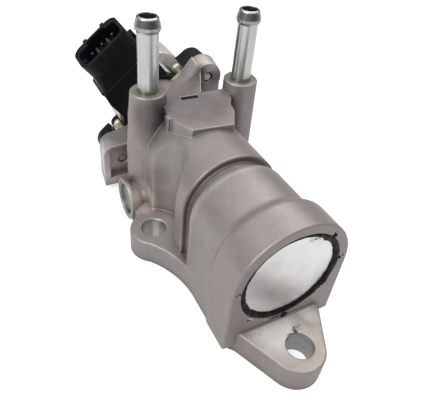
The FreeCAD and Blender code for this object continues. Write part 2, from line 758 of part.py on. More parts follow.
def housing_ear(sign, deep=EAR_T):
    cx, cz = lug_centre(sign)
    root = polar(LUG_ANGLE, sign * EAR_INNER)
    return hull_face(root, EAR_ROOT_R, (cx, cz), EAR_END_R, FLANGE_Y).extrude(V(0, deep, 0))


def upright(edge):
    return abs(edge.tangentAt(edge.FirstParameter).z) > 0.99


def neck_wire(side, across, out):
    """Closed rectangle across the connector at one height."""
    (s0, s1), (y0, y1) = side, across
    return Part.makePolygon([V(s0, y0, out), V(s1, y0, out), V(s1, y1, out), V(s0, y1, out), V(s0, y0, out)])


def connector_solid():
    """Outer block of the plug socket, built along z and then tipped over."""
    s0, s1 = CONN_SIDE
    y0, y1 = CONN_Y
    knee = CONN_MOUTH - CONN_STRAIGHT
    shroud = soften(block(s0, s1, y0, y1, knee - 0.5, CONN_MOUTH), CONN_ROUND, upright)
    top = neck_wire((s0 + 0.3, s1 - 0.1), (y0 + 0.3, y1 - 0.3), knee + 0.2)
    mid = neck_wire((s0 - CONN_WAIST, s1), (y0 + CONN_LEAN, y1 + 0.6), CONN_RIDGE)
    waist = soften(Part.makeLoft([top, mid], True, True), CONN_ROUND / 2, leaning)
    ridge = block(s0 - CONN_WAIST - RIDGE_H, s1 + RIDGE_H, y0 + CONN_LEAN - RIDGE_H, y1 + 0.6, CONN_RIDGE,
                  CONN_RIDGE + 2 * RIDGE_H)
    ridge = soften(ridge, CONN_ROUND / 2, upright)
    under = neck_wire((s0 - CONN_WAIST, s1 - 0.3), (y0 + CONN_LEAN + 1, y1 + 0.8), CONN_RIDGE)
    low = neck_wire(CONN_ROOT, (CONN_ROOT_Y[0], y1 + EAR_T / 3), CONN_ROOT_TOP - 0.2)
    neck = Part.makeLoft([under, low], True, True)
    return join([shroud, waist, ridge, neck, connector_root()])


def connector_root():
    """Foot of the socket on the motor's cover."""
    return block(CONN_ROOT[0], CONN_ROOT[1], CONN_ROOT_Y[0], CONN_ROOT_Y[1], CONN_ROOT_LOW, CONN_ROOT_TOP)


def leaning(edge):
    """Edges of the waist that run towards the mouth."""
    return abs(edge.tangentAt(edge.FirstParameter).z) > 0.8


def connector_cuts():
    """Socket cavity with its dividing ribs left standing, and the groove of the plug's latch."""
    s0, s1 = CONN_SIDE
    y0, y1 = CONN_Y
    w = CONN_WALL
    floor = CONN_MOUTH - CONN_DEPTH
    cavity = block(s0 + w, s1 - w, y0 + w, y1 - CONN_BACK, floor, CONN_MOUTH + 1)
    cavity = soften(cavity, CONN_ROUND - w, upright)
    low = CONN_MOUTH - CONN_DEPTH / 2
    latch = block(KEY_SIDES[0], KEY_SIDES[1], y1 - CONN_BACK - 0.5, y1 - w, low, CONN_MOUTH + 1)
    cavity = cavity.fuse(latch)
    for a, b in zip(PIN_COLUMNS[:-1], PIN_COLUMNS[1:]):
        x = (a + b) / 2
        rib = block(x - RIB_T / 2, x + RIB_T / 2, y0 + w, y0 + w + RIB_LEN, floor, CONN_MOUTH - RIB_SINK)
        cavity = cavity.cut(rib)
    key = block(s0 + w, s0 + 2 * w, y0 + RIB_LEN + w, y0 + RIB_LEN + 2 * w, floor, CONN_MOUTH - 2 * RIB_SINK)
    return cavity.cut(key)


def connector_extras():
    """Key ribs on the rear side and the latch tab on the end."""
    s1 = CONN_SIDE[1]
    y0, y1 = CONN_Y
    knee = CONN_MOUTH - CONN_STRAIGHT
    keys = [block(x - KEY_W / 2, x + KEY_W / 2, y1 - 0.2, y1 + KEY_H, knee, CONN_MOUTH) for x in KEY_SIDES]
    tab_y = (y0 + y1) / 2
    tab_z = knee - TAB_H / 2 - TAB_DOWN
    tab = block(s1 - 0.2, s1 + TAB_T, tab_y - TAB_W / 2, tab_y + TAB_W / 2, tab_z, tab_z + TAB_H)
    return keys + [tab]


def tip_over(shape):
    """Turns a shape built along z onto the connector's direction."""
    moved = shape.copy()
    moved.rotate(V(0, 0, 0), V(0, 1, 0), 90 - CONN_ANGLE)
    moved.translate(V(0, 0, AXIS_Z))
    return moved


def can_face(shrink, y):
    cx, cz = polar(LUG_ANGLE, CAN_BULGE)
    return hull_face((0.0, AXIS_Z), CAN_R - shrink, (cx, cz), CAN_BULGE_R - shrink, y)


def motor_housing():
    """Black moulding: front cover, two ears, socket, and the shell round the coils."""
    cover = cyl_y(HOUSING_R, FLANGE_Y, CAN_Y)
    spigot = cyl_y(CAVITY_R - SPIGOT_FIT, FLANGE_Y - SPIGOT_LEN, FLANGE_Y + 0.1)
    body = join([cover, spigot, housing_ear(1), housing_ear(-1)])
    socket = join([connector_solid()] + connector_extras())
    body = join([body, tip_over(socket)])
    for sign in (1, -1):
        cx, cz = lug_centre(sign)
        body = body.cut(cyl_y(SCREW_R + 2 * ROTOR_GAP, FLANGE_Y - 1, FLANGE_Y + EAR_T + 1, cx, cz))
        sx, sz = polar(LUG_ANGLE, sign * SLEEVE_OUT)
        body = body.cut(cyl_y(SLEEVE_R, SLEEVE_START, CAN_Y + 1, sx, sz))
        body = body.cut(cyl_y(SLEEVE_R + SLEEVE_COLLAR, CAN_Y - SLEEVE_COLLAR_LEN, CAN_Y + 1, sx, sz))
        body = body.cut(sleeve_window(sign))
    seat_y = ROTOR_Y - BEARING_BACK
    inner = cyl_y(MOTOR_BORE, seat_y, CAN_Y + 1)
    nose = spindle_guide(THREAD_FIT, FLANGE_Y - SPIGOT_LEN - 1, ROTOR_Y)
    seat = cyl_y(BEARING_R, seat_y - BEARING_T, ROTOR_Y)
    groove = ring_y(CAVITY_R + 1, CAVITY_R - 2 * ORING_R, seal_y() - ORING_R, seal_y() + ORING_R)
    for c in (inner, nose, seat, groove, tip_over(connector_cuts())):
        body = body.cut(c)
    slab = can_face(0.0, CAN_Y).extrude(V(0, 2 * CAN_LEN, 0))
    body = body.cut(slab).cut(can_rim()).cut(can_skirt())
    for pin in pin_list():
        body = body.cut(pin)
    return body


def seal_y():
    """Middle of the sealing ring's groove."""
    return FLANGE_Y - SPIGOT_LEN / 2 - 0.15


def sleeve_window(sign):
    """Opening in the upper side of an ear where the sleeve shows; a skin stays round the coils."""
    far = SLEEVE_OUT + SLEEVE_R + SLEEVE_COLLAR + WINDOW_GAP
    ends = sorted((sign * (MOTOR_BORE + WINDOW_SKIN), sign * far))
    front = SLEEVE_START + WINDOW_SKIN
    room = block(ends[0], ends[1], front, CAN_Y + 1, -SLEEVE_R / 2, HOUSING_R)
    sill = block(ends[0], ends[1], FLANGE_Y - 1, front + 0.1, WINDOW_SILL, HOUSING_R)
    return tip_over(room.fuse(sill))


def can_rim():
    """Thin rim of the cap that carries the two sleeves."""
    ax, az = polar(LUG_ANGLE, SLEEVE_OUT)
    bx, bz = polar(LUG_ANGLE, -SLEEVE_OUT)
    tip = SLEEVE_R + CAN_WALL
    plate = hull_face((ax, az), tip, (bx, bz), tip - 0.01, CAN_Y)
    return plate.extrude(V(0, CAN_RIM, 0))


def can_skirt():
    """Front skirt of the cap round the coils, open at the ears and at the socket's foot."""
    skirt = ring_y(CAN_R, MOTOR_BORE, SKIRT_Y, CAN_Y + CAN_WALL)
    for sign in (1, -1):
        skirt = skirt.cut(housing_ear(sign, CAN_Y - FLANGE_Y))
    foot = tip_over(connector_root()).common(cyl_y(CAN_R + 1, FLANGE_Y, CAN_Y))
    return skirt.cut(foot)


def motor_can():
    """Drawn steel cap over the coils, wider towards the upper ear."""
    outer = can_face(0.0, CAN_Y).extrude(V(0, CAN_END - CAN_Y, 0))
    outer = soften(outer, CAN_ROUND, lambda e: middle(e).y > CAN_END - 0.1)
    straight = CAN_END - CAN_ROUND
    roof = CAN_END - CAN_WALL
    slope = roof - straight
    front = CAN_Y + CAN_WALL
    mouth = cyl_y(MOTOR_BORE, CAN_Y - 1, front + 0.1)
    room = can_face(CAN_WALL, front).extrude(V(0, straight - front, 0))
    wide = can_face(CAN_WALL, straight).OuterWire
    narrow = can_face(CAN_WALL + slope, roof).OuterWire
    dome = Part.makeLoft([wide, narrow], True, True)
    return join([outer, can_rim()]).cut(room).cut(dome).cut(mouth).fuse(can_skirt())


def mounting_sleeves():
    """Two gold coloured tubes with a collar that join the front cover to the steel cap."""
    parts = []
    for sign in (1, -1):
        x, z = polar(LUG_ANGLE, sign * SLEEVE_OUT)
        inner = SLEEVE_R - SLEEVE_WALL
        outline = [(inner, SLEEVE_START), (SLEEVE_R, SLEEVE_START), (SLEEVE_R, CAN_Y - SLEEVE_COLLAR_LEN),
                   (SLEEVE_R + SLEEVE_COLLAR, CAN_Y - SLEEVE_COLLAR_LEN), (SLEEVE_R + SLEEVE_COLLAR, CAN_Y),
                   (inner, CAN_Y)]
        parts.append(revolve_y(outline, x, z))
    return Part.makeCompound(parts)


def motor_screws():
    """Two pan head screws with cross recess through the ears into the lugs."""
    parts = []
    for sign in (1, -1):
        x, z = lug_centre(sign)
        seat = FLANGE_Y + EAR_T
        tip = LUG_FACE + SCREW_SINK
        top = seat + SCREW_HEAD_T
        outline = [(0, tip), (SCREW_R - HOLE_BREAK, tip), (SCREW_R, tip + HOLE_BREAK), (SCREW_R, seat),
                   (SCREW_HEAD_R, seat), (SCREW_HEAD_R, seat + SCREW_HEAD_T / 2), (SCREW_HEAD_R - 1, top - 0.2),
                   (SCREW_HEAD_R - 2, top), (0, top)]
        screw = revolve_y(outline, x, z)
        arm = SCREW_HEAD_R / 2
        slit = 0.45
        for w, h in ((arm, slit), (slit, arm)):
            screw = screw.cut(block(x - w, x + w, top - SCREW_HEAD_T / 2, top + 1, z - h, z + h))
        parts.append(screw)
    return Part.makeCompound(parts)


def flange_seal():
    """Ring in the groove of the motor's spigot."""
    middle_r = CAVITY_R - ORING_R
    sides = 12
    turns = [2 * math.pi * i / sides for i in range(sides)]
    ring = [(middle_r + ORING_R * math.cos(a), seal_y() + ORING_R * math.sin(a)) for a in turns]
    return revolve_y(ring)


def pin_list():
    """Six pins, rooted in the floor of the socket."""
    floor = CONN_MOUTH - CONN_DEPTH
    half = PIN_W / 2
    pins = []
    for x in PIN_COLUMNS:
        for y in PIN_ROWS:
            pins.append(tip_over(block(x - half, x + half, y - half, y + half, floor - 4.0, PIN_TIP)))
    return pins


def terminal_pins():
    return Part.makeCompound(pin_list())


def spindle_guide(gap, y0, y1):
    """Round bar with two flats, which keep the spindle from turning."""
    bar = cyl_y(SPINDLE_R + gap, y0, y1)
    flat = SPINDLE_FLAT + gap
    return bar.common(block(-flat, flat, y0 - 1, y1 + 1, AXIS_Z - NUT_R, AXIS_Z + NUT_R))


def spindle():
    """Threaded spindle that pushes on the stem; it slides and doesn't turn."""
    front = spindle_guide(0.0, STEM_END, ROTOR_Y)
    return join([front, cyl_y(SPINDLE_R, ROTOR_Y, SPINDLE_END)])


def rotor_nut():
    """Nut of the rotor, carried by the two bearings."""
    return ring_y(NUT_R, SPINDLE_R + THREAD_FIT, ROTOR_Y - BEARING_BACK - BEARING_T, ROTOR_END + BEARING_T)


def rotor_magnet():
    return ring_y(ROTOR_R, NUT_R, ROTOR_Y, ROTOR_END)


def bearing(y0):
    return ring_y(BEARING_R, NUT_R + STEM_FIT, y0, y0 + BEARING_T)


def coil(y0, y1):
    return ring_y(MOTOR_BORE, ROTOR_R + ROTOR_GAP, y0, y1)


def rear_holder():
    """Disc behind the coils that holds the rear bearing."""
    y0 = ROTOR_END
    y1 = ROTOR_END + BEARING_T
    slope = CAN_ROUND - CAN_WALL
    return revolve_y([(BEARING_R, y0), (MOTOR_BORE, y0), (MOTOR_BORE, CAN_END - CAN_ROUND),
                      (MOTOR_BORE - slope, y1), (BEARING_R, y1)])


def all_parts():
    split = (ROTOR_Y + ROTOR_END) / 2
    return {
        "valve_body": valve_body(),
        "end_plug": end_plug(),
        "plug_sealant": plug_sealant(),
        "coolant_pipe_left": coolant_pipe(PIPE_LEFT),
        "coolant_pipe_right": coolant_pipe(PIPE_RIGHT),
        "side_core_plug": side_core_plug(),
        "valve_seat": valve_seat(),
        "valve_poppet": valve_poppet(),
        "stem_bush": stem_bush(),
        "stem_seal": stem_seal(),
        "seal_keeper": seal_keeper(),
        "spring_cap": spring_cap(),
        "stem_clip": stem_clip(),
        "return_spring": return_spring(),
        "motor_housing": motor_housing(),
        "motor_can": motor_can(),
        "mounting_sleeves": mounting_sleeves(),
        "motor_screws": motor_screws(),
        "flange_seal": flange_seal(),
        "terminal_pins": terminal_pins(),
        "spindle": spindle(),
        "rotor_nut": rotor_nut(),
        "rotor_magnet": rotor_magnet(),
        "bearing_front": bearing(ROTOR_Y - BEARING_BACK - BEARING_T),
        "bearing_rear": bearing(ROTOR_END),
        "coil_front": coil(ROTOR_Y - BEARING_BACK, split),
        "coil_rear": coil(split, ROTOR_END),
        "rear_holder": rear_holder(),
    }


os.makedirs("parts", exist_ok=True)
for name, shape in all_parts().items():
    print(name, "valid" if shape.isValid() else "INVALID", "solids", len(shape.Solids),
          "volume %.0f" % shape.Volume)
    shape.exportStep("parts/" + name + ".step")
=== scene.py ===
"""Looks of the exhaust gas recirculation valve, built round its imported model.

Lengths and places are in millimetres in the model's frame, where the gasket face is at z = 0 and
the valve's axis runs along +Y. MM turns them into metres. Colours are linear.
"""

import json
import math

import bmesh
import bpy
from mathutils import Euler, Matrix, Vector, noise


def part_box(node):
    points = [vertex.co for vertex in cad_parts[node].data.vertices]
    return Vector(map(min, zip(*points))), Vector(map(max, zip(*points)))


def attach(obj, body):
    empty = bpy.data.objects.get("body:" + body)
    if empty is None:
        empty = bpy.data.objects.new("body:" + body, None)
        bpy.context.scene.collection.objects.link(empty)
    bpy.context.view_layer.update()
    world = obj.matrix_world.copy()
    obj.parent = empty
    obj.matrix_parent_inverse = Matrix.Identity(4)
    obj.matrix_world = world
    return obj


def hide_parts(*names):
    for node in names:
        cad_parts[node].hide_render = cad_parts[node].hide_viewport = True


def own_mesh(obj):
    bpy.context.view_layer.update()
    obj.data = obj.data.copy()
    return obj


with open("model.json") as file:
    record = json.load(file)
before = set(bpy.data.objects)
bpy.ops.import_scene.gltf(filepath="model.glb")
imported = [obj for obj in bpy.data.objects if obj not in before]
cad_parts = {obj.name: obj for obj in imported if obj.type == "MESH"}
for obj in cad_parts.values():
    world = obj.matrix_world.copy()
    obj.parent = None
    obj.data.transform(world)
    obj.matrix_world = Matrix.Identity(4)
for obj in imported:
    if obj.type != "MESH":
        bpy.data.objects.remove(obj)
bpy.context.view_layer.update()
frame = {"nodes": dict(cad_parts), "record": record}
nodes = frame["nodes"]

MM = 0.001

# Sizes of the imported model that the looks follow
AXIS_Z = 28.6
VALVE_AXIS = (0.0, AXIS_Z)
BARREL_STEP = 36.9
FLANGE_Y = 102.0
CAP_FACE = FLANGE_Y + 14.0
BASE_TOP = 9.4
BOSS_TOP = 52.7
PIPE_TOP = 78.6
PIPES = ((-14.5, 76.7), (22.7, 75.5))
FRONT_HOLE = (0.0, -11.0)
REAR_HOLE = (-21.4, 53.2)
HOLE_R = 4.5
HOLE_MIDDLE = 5.0
DISC_R = 15.4
DISC_FACE = 0.9
GROOVE_IN = 16.2
GROOVE_OUT = 17.2
GROOVE_LIP = 1.0
GROOVE_DEEP = 1.8
SLEEVES = ((13.71, 40.11), (-13.71, 17.09))
SPRING_TURNS = 3.5
SPRING_DEAD = 0.5
SPRING_R = 8.2
WIRE_R = 0.7

# Punch marks round the disc: angles in degrees, distance from the axis, depth of the tip
STAKES = (49, 6, -38, -87, -133, 177)
STAKE_AT = 18.1
STAKE_TIP = 0.3

# Camera that was fitted to the photo: place, turn about X, Y and Z in degrees, lens and sensor
CAMERA_AT = (-67.98363, -61.93432, 129.52863)
CAMERA_TURN = (49.60227, -5.28402, -27.64228)
CAMERA_LENS = 38.1157
SENSOR_WIDTH = 36.0
NEAREST = 5.0
FARTHEST = 20000.0

# Broad glows of the studio: direction, sharpness, strength
GLOWS = (
    ((-1.0, 0.0, 0.3), 2.0, 0.12),
    ((1.0, 0.15, 0.3), 2.0, 0.08),
    ((0.0, 0.0, 1.0), 2.0, 1.30),
)
BASE_GLOW = 0.025
WHITE = (1.0, 1.0, 1.0)

# Lamps: name, place, width, power in watts
LAMPS = (
    ("key", (-600.0, -100.0, 600.0), 450.0, 3.6),
    ("over", (410.0, 300.0, 750.0), 500.0, 1.6),
)
LAMP_TARGET = (0.0, 50.0, 30.0)

# Floor: width, place just below the part, colour, roughness, glow to the camera and in reflections
FLOOR_WIDTH = 6000.0
FLOOR_AT = (0.0, 50.0, -0.05)
FLOOR_GREY = (0.50, 0.50, 0.50)
FLOOR_ROUGH = 0.9
FLOOR_SEEN = 0.70
FLOOR_SHINE = 0.28

# Sockets of a mix node that carry its factor and colours, and its colour result
MIX_INPUTS = (0, 6, 7)
MIX_RESULT = 2

# Rays that a corner or a rounded edge is looked for with
RAYS = 6
CAP_RAYS = 8

# Agreement of the plain and the rounded normal on a sharp edge and on flat ground
EDGE_BEND = (0.75, 0.995)


# Helpers for places, nodes and objects

def outward(angle):
    """Direction away from an axis along Y, at an angle in radians that is 0 along +X."""
    return Vector((math.cos(angle), 0.0, math.sin(angle)))


def around(angle, reach, station=0.0, axis=VALVE_AXIS):
    """Point at an angle in radians and a distance round an axis along Y."""
    return Vector((axis[0], station, axis[1])) + outward(angle) * reach


def feed(tree, value, socket):
    """Puts a number, a colour or another node's output into a socket."""
    if isinstance(value, (int, float)):
        socket.default_value = value
    elif isinstance(value, tuple):
        socket.default_value = (*value, 1.0)
    else:
        tree.links.new(value, socket)


def add_math(tree, kind, a, b):
    """Result of a math node on two numbers or outputs."""
    node = tree.nodes.new("ShaderNodeMath")
    node.operation = kind
    feed(tree, a, node.inputs[0])
    feed(tree, b, node.inputs[1])
    return node.outputs[0]


def add_vector_math(tree, kind, a, b=None):
    """Outputs of a vector math node on an output and a plain vector or another output."""
    node = tree.nodes.new("ShaderNodeVectorMath")
    node.operation = kind
    tree.links.new(a, node.inputs[0])
    if isinstance(b, (tuple, Vector)):
        node.inputs[1].default_value = b
    elif b is not None:
        tree.links.new(b, node.inputs[1])
    return node.outputs


def add_object(name, data):
    """New object in the scene."""
    made = bpy.data.objects.new(name, data)
    bpy.context.scene.collection.objects.link(made)
    return made


# Camera, lamps, studio and floor

def make_camera():
    """Camera at the photo's viewing angle."""
    data = bpy.data.cameras.new("camera")
    data.sensor_fit = "HORIZONTAL"
    data.sensor_width = SENSOR_WIDTH
    data.lens = CAMERA_LENS
    data.clip_start = NEAREST * MM
    data.clip_end = FARTHEST * MM
    camera = add_object("camera", data)
    turn = Euler([math.radians(angle) for angle in CAMERA_TURN]).to_matrix()
    camera.matrix_world = Matrix.Translation(Vector(CAMERA_AT) * MM) @ turn.to_4x4()
    bpy.context.scene.camera = camera


def make_lamps():
    """Soft square lamps that look at the part."""
    for name, place, width, power in LAMPS:
        data = bpy.data.lights.new(name, "AREA")
        data.shape = "SQUARE"
        data.size = width * MM
        data.energy = power
        lamp = add_object(name, data)
        lamp.location = Vector(place) * MM
        way = Vector(LAMP_TARGET) - Vector(place)
        lamp.rotation_euler = way.to_track_quat("-Z", "Y").to_euler()


def world_glow(tree):
    """Brightness of the studio by direction."""
    look = tree.nodes.new("ShaderNodeTexCoord").outputs["Generated"]
    total = BASE_GLOW
    for direction, sharpness, strength in GLOWS:
        towards = Vector(direction).normalized()
        glow = add_vector_math(tree, "DOT_PRODUCT", look, towards)["Value"]
        glow = add_math(tree, "MAXIMUM", glow, 0.0)
        glow = add_math(tree, "POWER", glow, sharpness)
        glow = add_math(tree, "MULTIPLY", glow, strength)
        total = add_math(tree, "ADD", glow, total)
    return total


def add_background(tree, strength):
    """White background of a strength."""
    node = tree.nodes.new("ShaderNodeBackground")
    feed(tree, WHITE, node.inputs["Color"])
    feed(tree, strength, node.inputs["Strength"])
    return node.outputs[0]


def make_world():
    """White for the camera, and for all else a studio that is bright above and dim all round."""
    world = bpy.data.worlds.new("studio")
    bpy.context.scene.world = world
    world.use_nodes = True
    tree = world.node_tree
    tree.nodes.clear()
    ray = tree.nodes.new("ShaderNodeLightPath").outputs
    seen = add_math(tree, "MAXIMUM", ray["Is Camera Ray"], ray["Is Transmission Ray"])
    both = tree.nodes.new("ShaderNodeMixShader")
    tree.links.new(seen, both.inputs["Fac"])
    tree.links.new(add_background(tree, world_glow(tree)), both.inputs[1])
    tree.links.new(add_background(tree, 1.0), both.inputs[2])
    out = tree.nodes.new("ShaderNodeOutputWorld")
    tree.links.new(both.outputs[0], out.inputs["Surface"])


def make_floor():
    """Pale floor that keeps the shadow and stays white where no shadow falls."""
    bpy.ops.mesh.primitive_plane_add(size=FLOOR_WIDTH * MM, location=Vector(FLOOR_AT) * MM)
    floor = bpy.context.object
    floor.name = "floor"
    material = bpy.data.materials.new("floor")
    material.use_nodes = True
    tree = material.node_tree
    shader = tree.nodes["Principled BSDF"]
    feed(tree, FLOOR_GREY, shader.inputs["Base Color"])
    feed(tree, FLOOR_ROUGH, shader.inputs["Roughness"])
    feed(tree, 0.0, shader.inputs["Specular IOR Level"])
    ray = tree.nodes.new("ShaderNodeLightPath").outputs
    seen = add_math(tree, "MULTIPLY", ray["Is Camera Ray"], FLOOR_SEEN)
    shine = add_math(tree, "MULTIPLY", ray["Is Glossy Ray"], FLOOR_SHINE)
    glow = tree.nodes.new("ShaderNodeEmission")
    feed(tree, add_math(tree, "ADD", seen, shine), glow.inputs["Strength"])
    both = tree.nodes.new("ShaderNodeAddShader")
    tree.links.new(shader.outputs[0], both.inputs[0])
    tree.links.new(glow.outputs[0], both.inputs[1])
    tree.links.new(both.outputs[0], tree.nodes["Material Output"].inputs["Surface"])
    floor.data.materials.append(material)


# Materials

class Paint:
    """One material and short calls that add nodes to it."""

    def __init__(self, name):
        self.material = bpy.data.materials.new(name)
        self.material.use_nodes = True
        self.tree = self.material.node_tree
        self.shader = self.tree.nodes["Principled BSDF"]
        self.place = self.tree.nodes.new("ShaderNodeTexCoord").outputs["Object"]

    def link(self, source, target):
        """Links an output to a socket."""
        self.tree.links.new(source, target)

    def put(self, **values):
        """Sets plain values on the shader, such as Metallic=1."""
        for key, value in values.items():
            self.shader.inputs[key.replace("_", " ")].default_value = value

    def set(self, socket, value):
        """Links an output to one of the shader's sockets."""
        self.link(value, self.shader.inputs[socket])

    def noise(self, size, detail=2.0, stretch=(1, 1, 1), rough=0.5, shift=0.0):
        """Noise whose features are about size across; a small stretch draws them out on an axis."""
        mapping = self.tree.nodes.new("ShaderNodeMapping")
        mapping.inputs["Location"].default_value = (shift, shift, shift)
        mapping.inputs["Scale"].default_value = tuple(s / (size * MM) for s in stretch)
        self.link(self.place, mapping.inputs["Vector"])
        node = self.tree.nodes.new("ShaderNodeTexNoise")
        node.inputs["Scale"].default_value = 1.0
        node.inputs["Detail"].default_value = detail
        node.inputs["Roughness"].default_value = rough
        self.link(mapping.outputs[0], node.inputs["Vector"])
        return node.outputs["Fac"]

    def ramp(self, factor, *stops):
        """Colour ramp with (position, colour) stops."""
        node = self.tree.nodes.new("ShaderNodeValToRGB")
        marks = node.color_ramp.elements
        while len(marks) < len(stops):
            marks.new(0.5)
        for mark, (position, colour) in zip(marks, stops):
            mark.position = position
            mark.color = (*colour, 1.0)
        self.link(factor, node.inputs["Fac"])
        return node.outputs["Color"]

    def scale(self, value, low, high, start=0.0, end=1.0):
        """Maps a value from start..end to low..high."""
        node = self.tree.nodes.new("ShaderNodeMapRange")
        node.inputs["From Min"].default_value = start
        node.inputs["From Max"].default_value = end
        node.inputs["To Min"].default_value = low
        node.inputs["To Max"].default_value = high
        self.link(value, node.inputs["Value"])
        return node.outputs["Result"]

    def mix(self, factor, a, b, mode="MIX"):
        """Colour a turned into b by a factor."""
        node = self.tree.nodes.new("ShaderNodeMix")
        node.data_type = "RGBA"
        node.blend_type = mode
        for value, index in zip((factor, a, b), MIX_INPUTS):
            feed(self.tree, value, node.inputs[index])
        return node.outputs[MIX_RESULT]

    def shade(self, colour, level):
        """Colour times a level; 1 leaves it as it is."""
        grey = self.tree.nodes.new("ShaderNodeCombineColor")
        for socket in grey.inputs:
            self.link(level, socket)
        return self.mix(1.0, colour, grey.outputs[0], "MULTIPLY")

    def math(self, kind, a, b):
        """Result of a math node, such as ADD."""
        return add_math(self.tree, kind, a, b)

    def times(self, *values):
        """Product of all values."""
        total = values[0]
        for value in values[1:]:
            total = self.math("MULTIPLY", total, value)
        return total

    def most(self, *values):
        """Largest of all values."""
        total = values[0]
        for value in values[1:]:
            total = self.math("MAXIMUM", total, value)
        return total

    def normal(self):
        """Plain normal of the surface."""
        return self.tree.nodes.new("ShaderNodeNewGeometry").outputs["Normal"]

    def along(self, vector, axis):
        """Part of a vector along X, Y or Z."""
        node = self.tree.nodes.new("ShaderNodeSeparateXYZ")
        self.link(vector, node.inputs[0])
        return node.outputs[axis]

    def facing(self, axis, start, end):
        """0 to 1 as the normal's part along an axis goes from start to end."""
        return self.scale(self.along(self.normal(), axis), 0.0, 1.0, start, end)

    def climb(self, axis, start, end):
        """0 to 1 from one station on an axis to another."""
        return self.scale(self.along(self.place, axis), 0.0, 1.0, start * MM, end * MM)

    def band(self, axis, low, high, soft=0.2):
        """1 between two stations on an axis, fading over soft."""
        return self.times(self.climb(axis, low - soft, low), self.climb(axis, high + soft, high))

    def spot(self, centre, inner, outer, stretch=(1, 1, 1)):
        """1 within inner of a point, 0 beyond outer; a stretch of 0 leaves an axis out."""
        away = add_vector_math(self.tree, "SUBTRACT", self.place, Vector(centre) * MM)[0]
        away = add_vector_math(self.tree, "MULTIPLY", away, stretch)[0]
        reach = add_vector_math(self.tree, "LENGTH", away)["Value"]
        return self.scale(reach, 1.0, 0.0, inner * MM, outer * MM)

    def round_edges(self, radius, rays=RAYS):
        """Normal that is rounded over the edges."""
        node = self.tree.nodes.new("ShaderNodeBevel")
        node.samples = rays
        node.inputs["Radius"].default_value = radius * MM
        return node.outputs["Normal"]

    def edge_mask(self, rounded):
        """1 on the outer and inner edges, 0 on flat ground."""
        bend = add_vector_math(self.tree, "DOT_PRODUCT", rounded, self.normal())["Value"]
        return self.scale(bend, 1.0, 0.0, *EDGE_BEND)

    def corners(self, distance):
        """0 in corners and crevices, 1 in the open."""
        node = self.tree.nodes.new("ShaderNodeAmbientOcclusion")
        node.samples = RAYS
        node.inputs["Distance"].default_value = distance * MM
        return node.outputs["AO"]

    def bump(self, height, depth, strength=1.0, normal=None):
        """Normal with bumps of the given depth."""
        node = self.tree.nodes.new("ShaderNodeBump")
        node.inputs["Strength"].default_value = strength
        node.inputs["Distance"].default_value = depth * MM
        self.link(height, node.inputs["Height"])
        if normal is not None:
            self.link(normal, node.inputs["Normal"])
        return node.outputs["Normal"]


# Colours painted on the casting: its own marks, and painted shade and painted highlights
SPECK = (0.20, 0.175, 0.16)
CORNER_SHADE = (0.13, 0.092, 0.078)
GROOVE_SHADE = (0.15, 0.112, 0.10)
GROOVE_HIGHLIGHT = (0.60, 0.54, 0.52)
RUBBED_AND_HIGHLIGHT = (0.84, 0.81, 0.79)
GLINT = (0.82, 0.81, 0.80)
BARE_METAL = (0.42, 0.40, 0.39)
SEALANT_BLACK = (0.02, 0.018, 0.017)
GROOVE_WALL_DARK = (0.085, 0.066, 0.058)
PRESSED_RIM = (0.28, 0.27, 0.215)
BRUISE = (0.30, 0.25, 0.235)
NICK_DARK = (0.05, 0.042, 0.04)

# Painted shade and painted light at places on the casting: centre, inner and outer reach, brightness
SHADE_AND_LIGHT_SPOTS = (
    ((-16.5, 70.0, 46.5), 3.5, 8.5, 0.52),
    ((-16.2, 69.5, 39.0), 2.5, 7.0, 0.72),
    ((-20.5, 68.0, 12.0), 3.5, 8.0, 2.1),
    ((-26.5, 92.5, 13.0), 5.0, 11.0, 2.2),
    ((9.5, 85.5, 47.0), 1.5, 5.0, 0.80),
    ((20.5, 97.0, 50.5), 2.5, 7.0, 1.7),
    ((22.3, 94.5, 44.6), 1.5, 4.5, 0.45),
    ((20.0, 78.0, 52.0), 2.0, 6.0, 0.68),
    ((-15.7, 61.8, 26.0), 2.0, 6.0, 0.80),
    ((-3.0, 20.0, 52.0), 4.0, 14.0, 1.12),
    ((15.4, 94.4, 46.5), 1.2, 4.0, 0.50),
    ((15.6, 94.5, 42.0), 0.8, 3.0, 0.62),
    ((15.4, 95.0, 49.4), 0.8, 2.6, 0.66),
    ((13.5, 91.0, 46.5), 2.5, 5.5, 0.64),
    ((0.0, 69.0, 48.5), 9.0, 16.0, 0.72),
)

# Foot and lip of the groove along Y, where painted shade and a painted highlight go, and the heights
# between which they fade in
GROOVE_FOOT = (BARREL_STEP - 2.9, BARREL_STEP + 0.1)
GROOVE_RIDGE = (BARREL_STEP - 6.4, BARREL_STEP - 3.8)
GROOVE_RISE = (14.0, 24.0)

# Corner between the upper lug and the hub, where the painted edge highlight is left out: centre, inner
# and outer reach
LUG_CORNER = ((15.6, 94.5, 46.0), 3.0, 6.0)

# Front ear: its stretch along Y, and its places lightened partly by wear and partly by painted sheen as
# centre, inner and outer reach, stretch
EAR_SPAN = (-21.0, -0.6)
EAR_WEAR_AND_SHEEN = (
    ((-3.5, -3.5, BASE_TOP), 3.0, 12.0, (0.8, 1.0, 0)),
    ((9.0, -2.0, BASE_TOP), 1.0, 6.0, (1.0, 1.0, 0)),
)

# Nick beside the front hole and the bruise round it: centre, inner and outer reach, stretch
NICKS = (
    ((1.6, -6.1, BASE_TOP), 0.25, 0.85, (0.8, 0.55, 1.0)),
    ((2.0, -5.0, BASE_TOP), 0.10, 0.55, (1.3, 0.55, 1.0)),
    ((-0.6, -6.3, BASE_TOP), 0.10, 0.9, (0.5, 2.6, 1.0)),
)
NICK_BRUISE = ((2.9, -4.9, BASE_TOP), 0.5, 2.2, (1, 1, 0))

# Painted highlight on the wall of the rear hole: centre, inner and outer reach, stretch
HOLE_GLINT = ((-19.0, 57.0, HOLE_MIDDLE), 0.7, 1.7, (1, 1, 0))

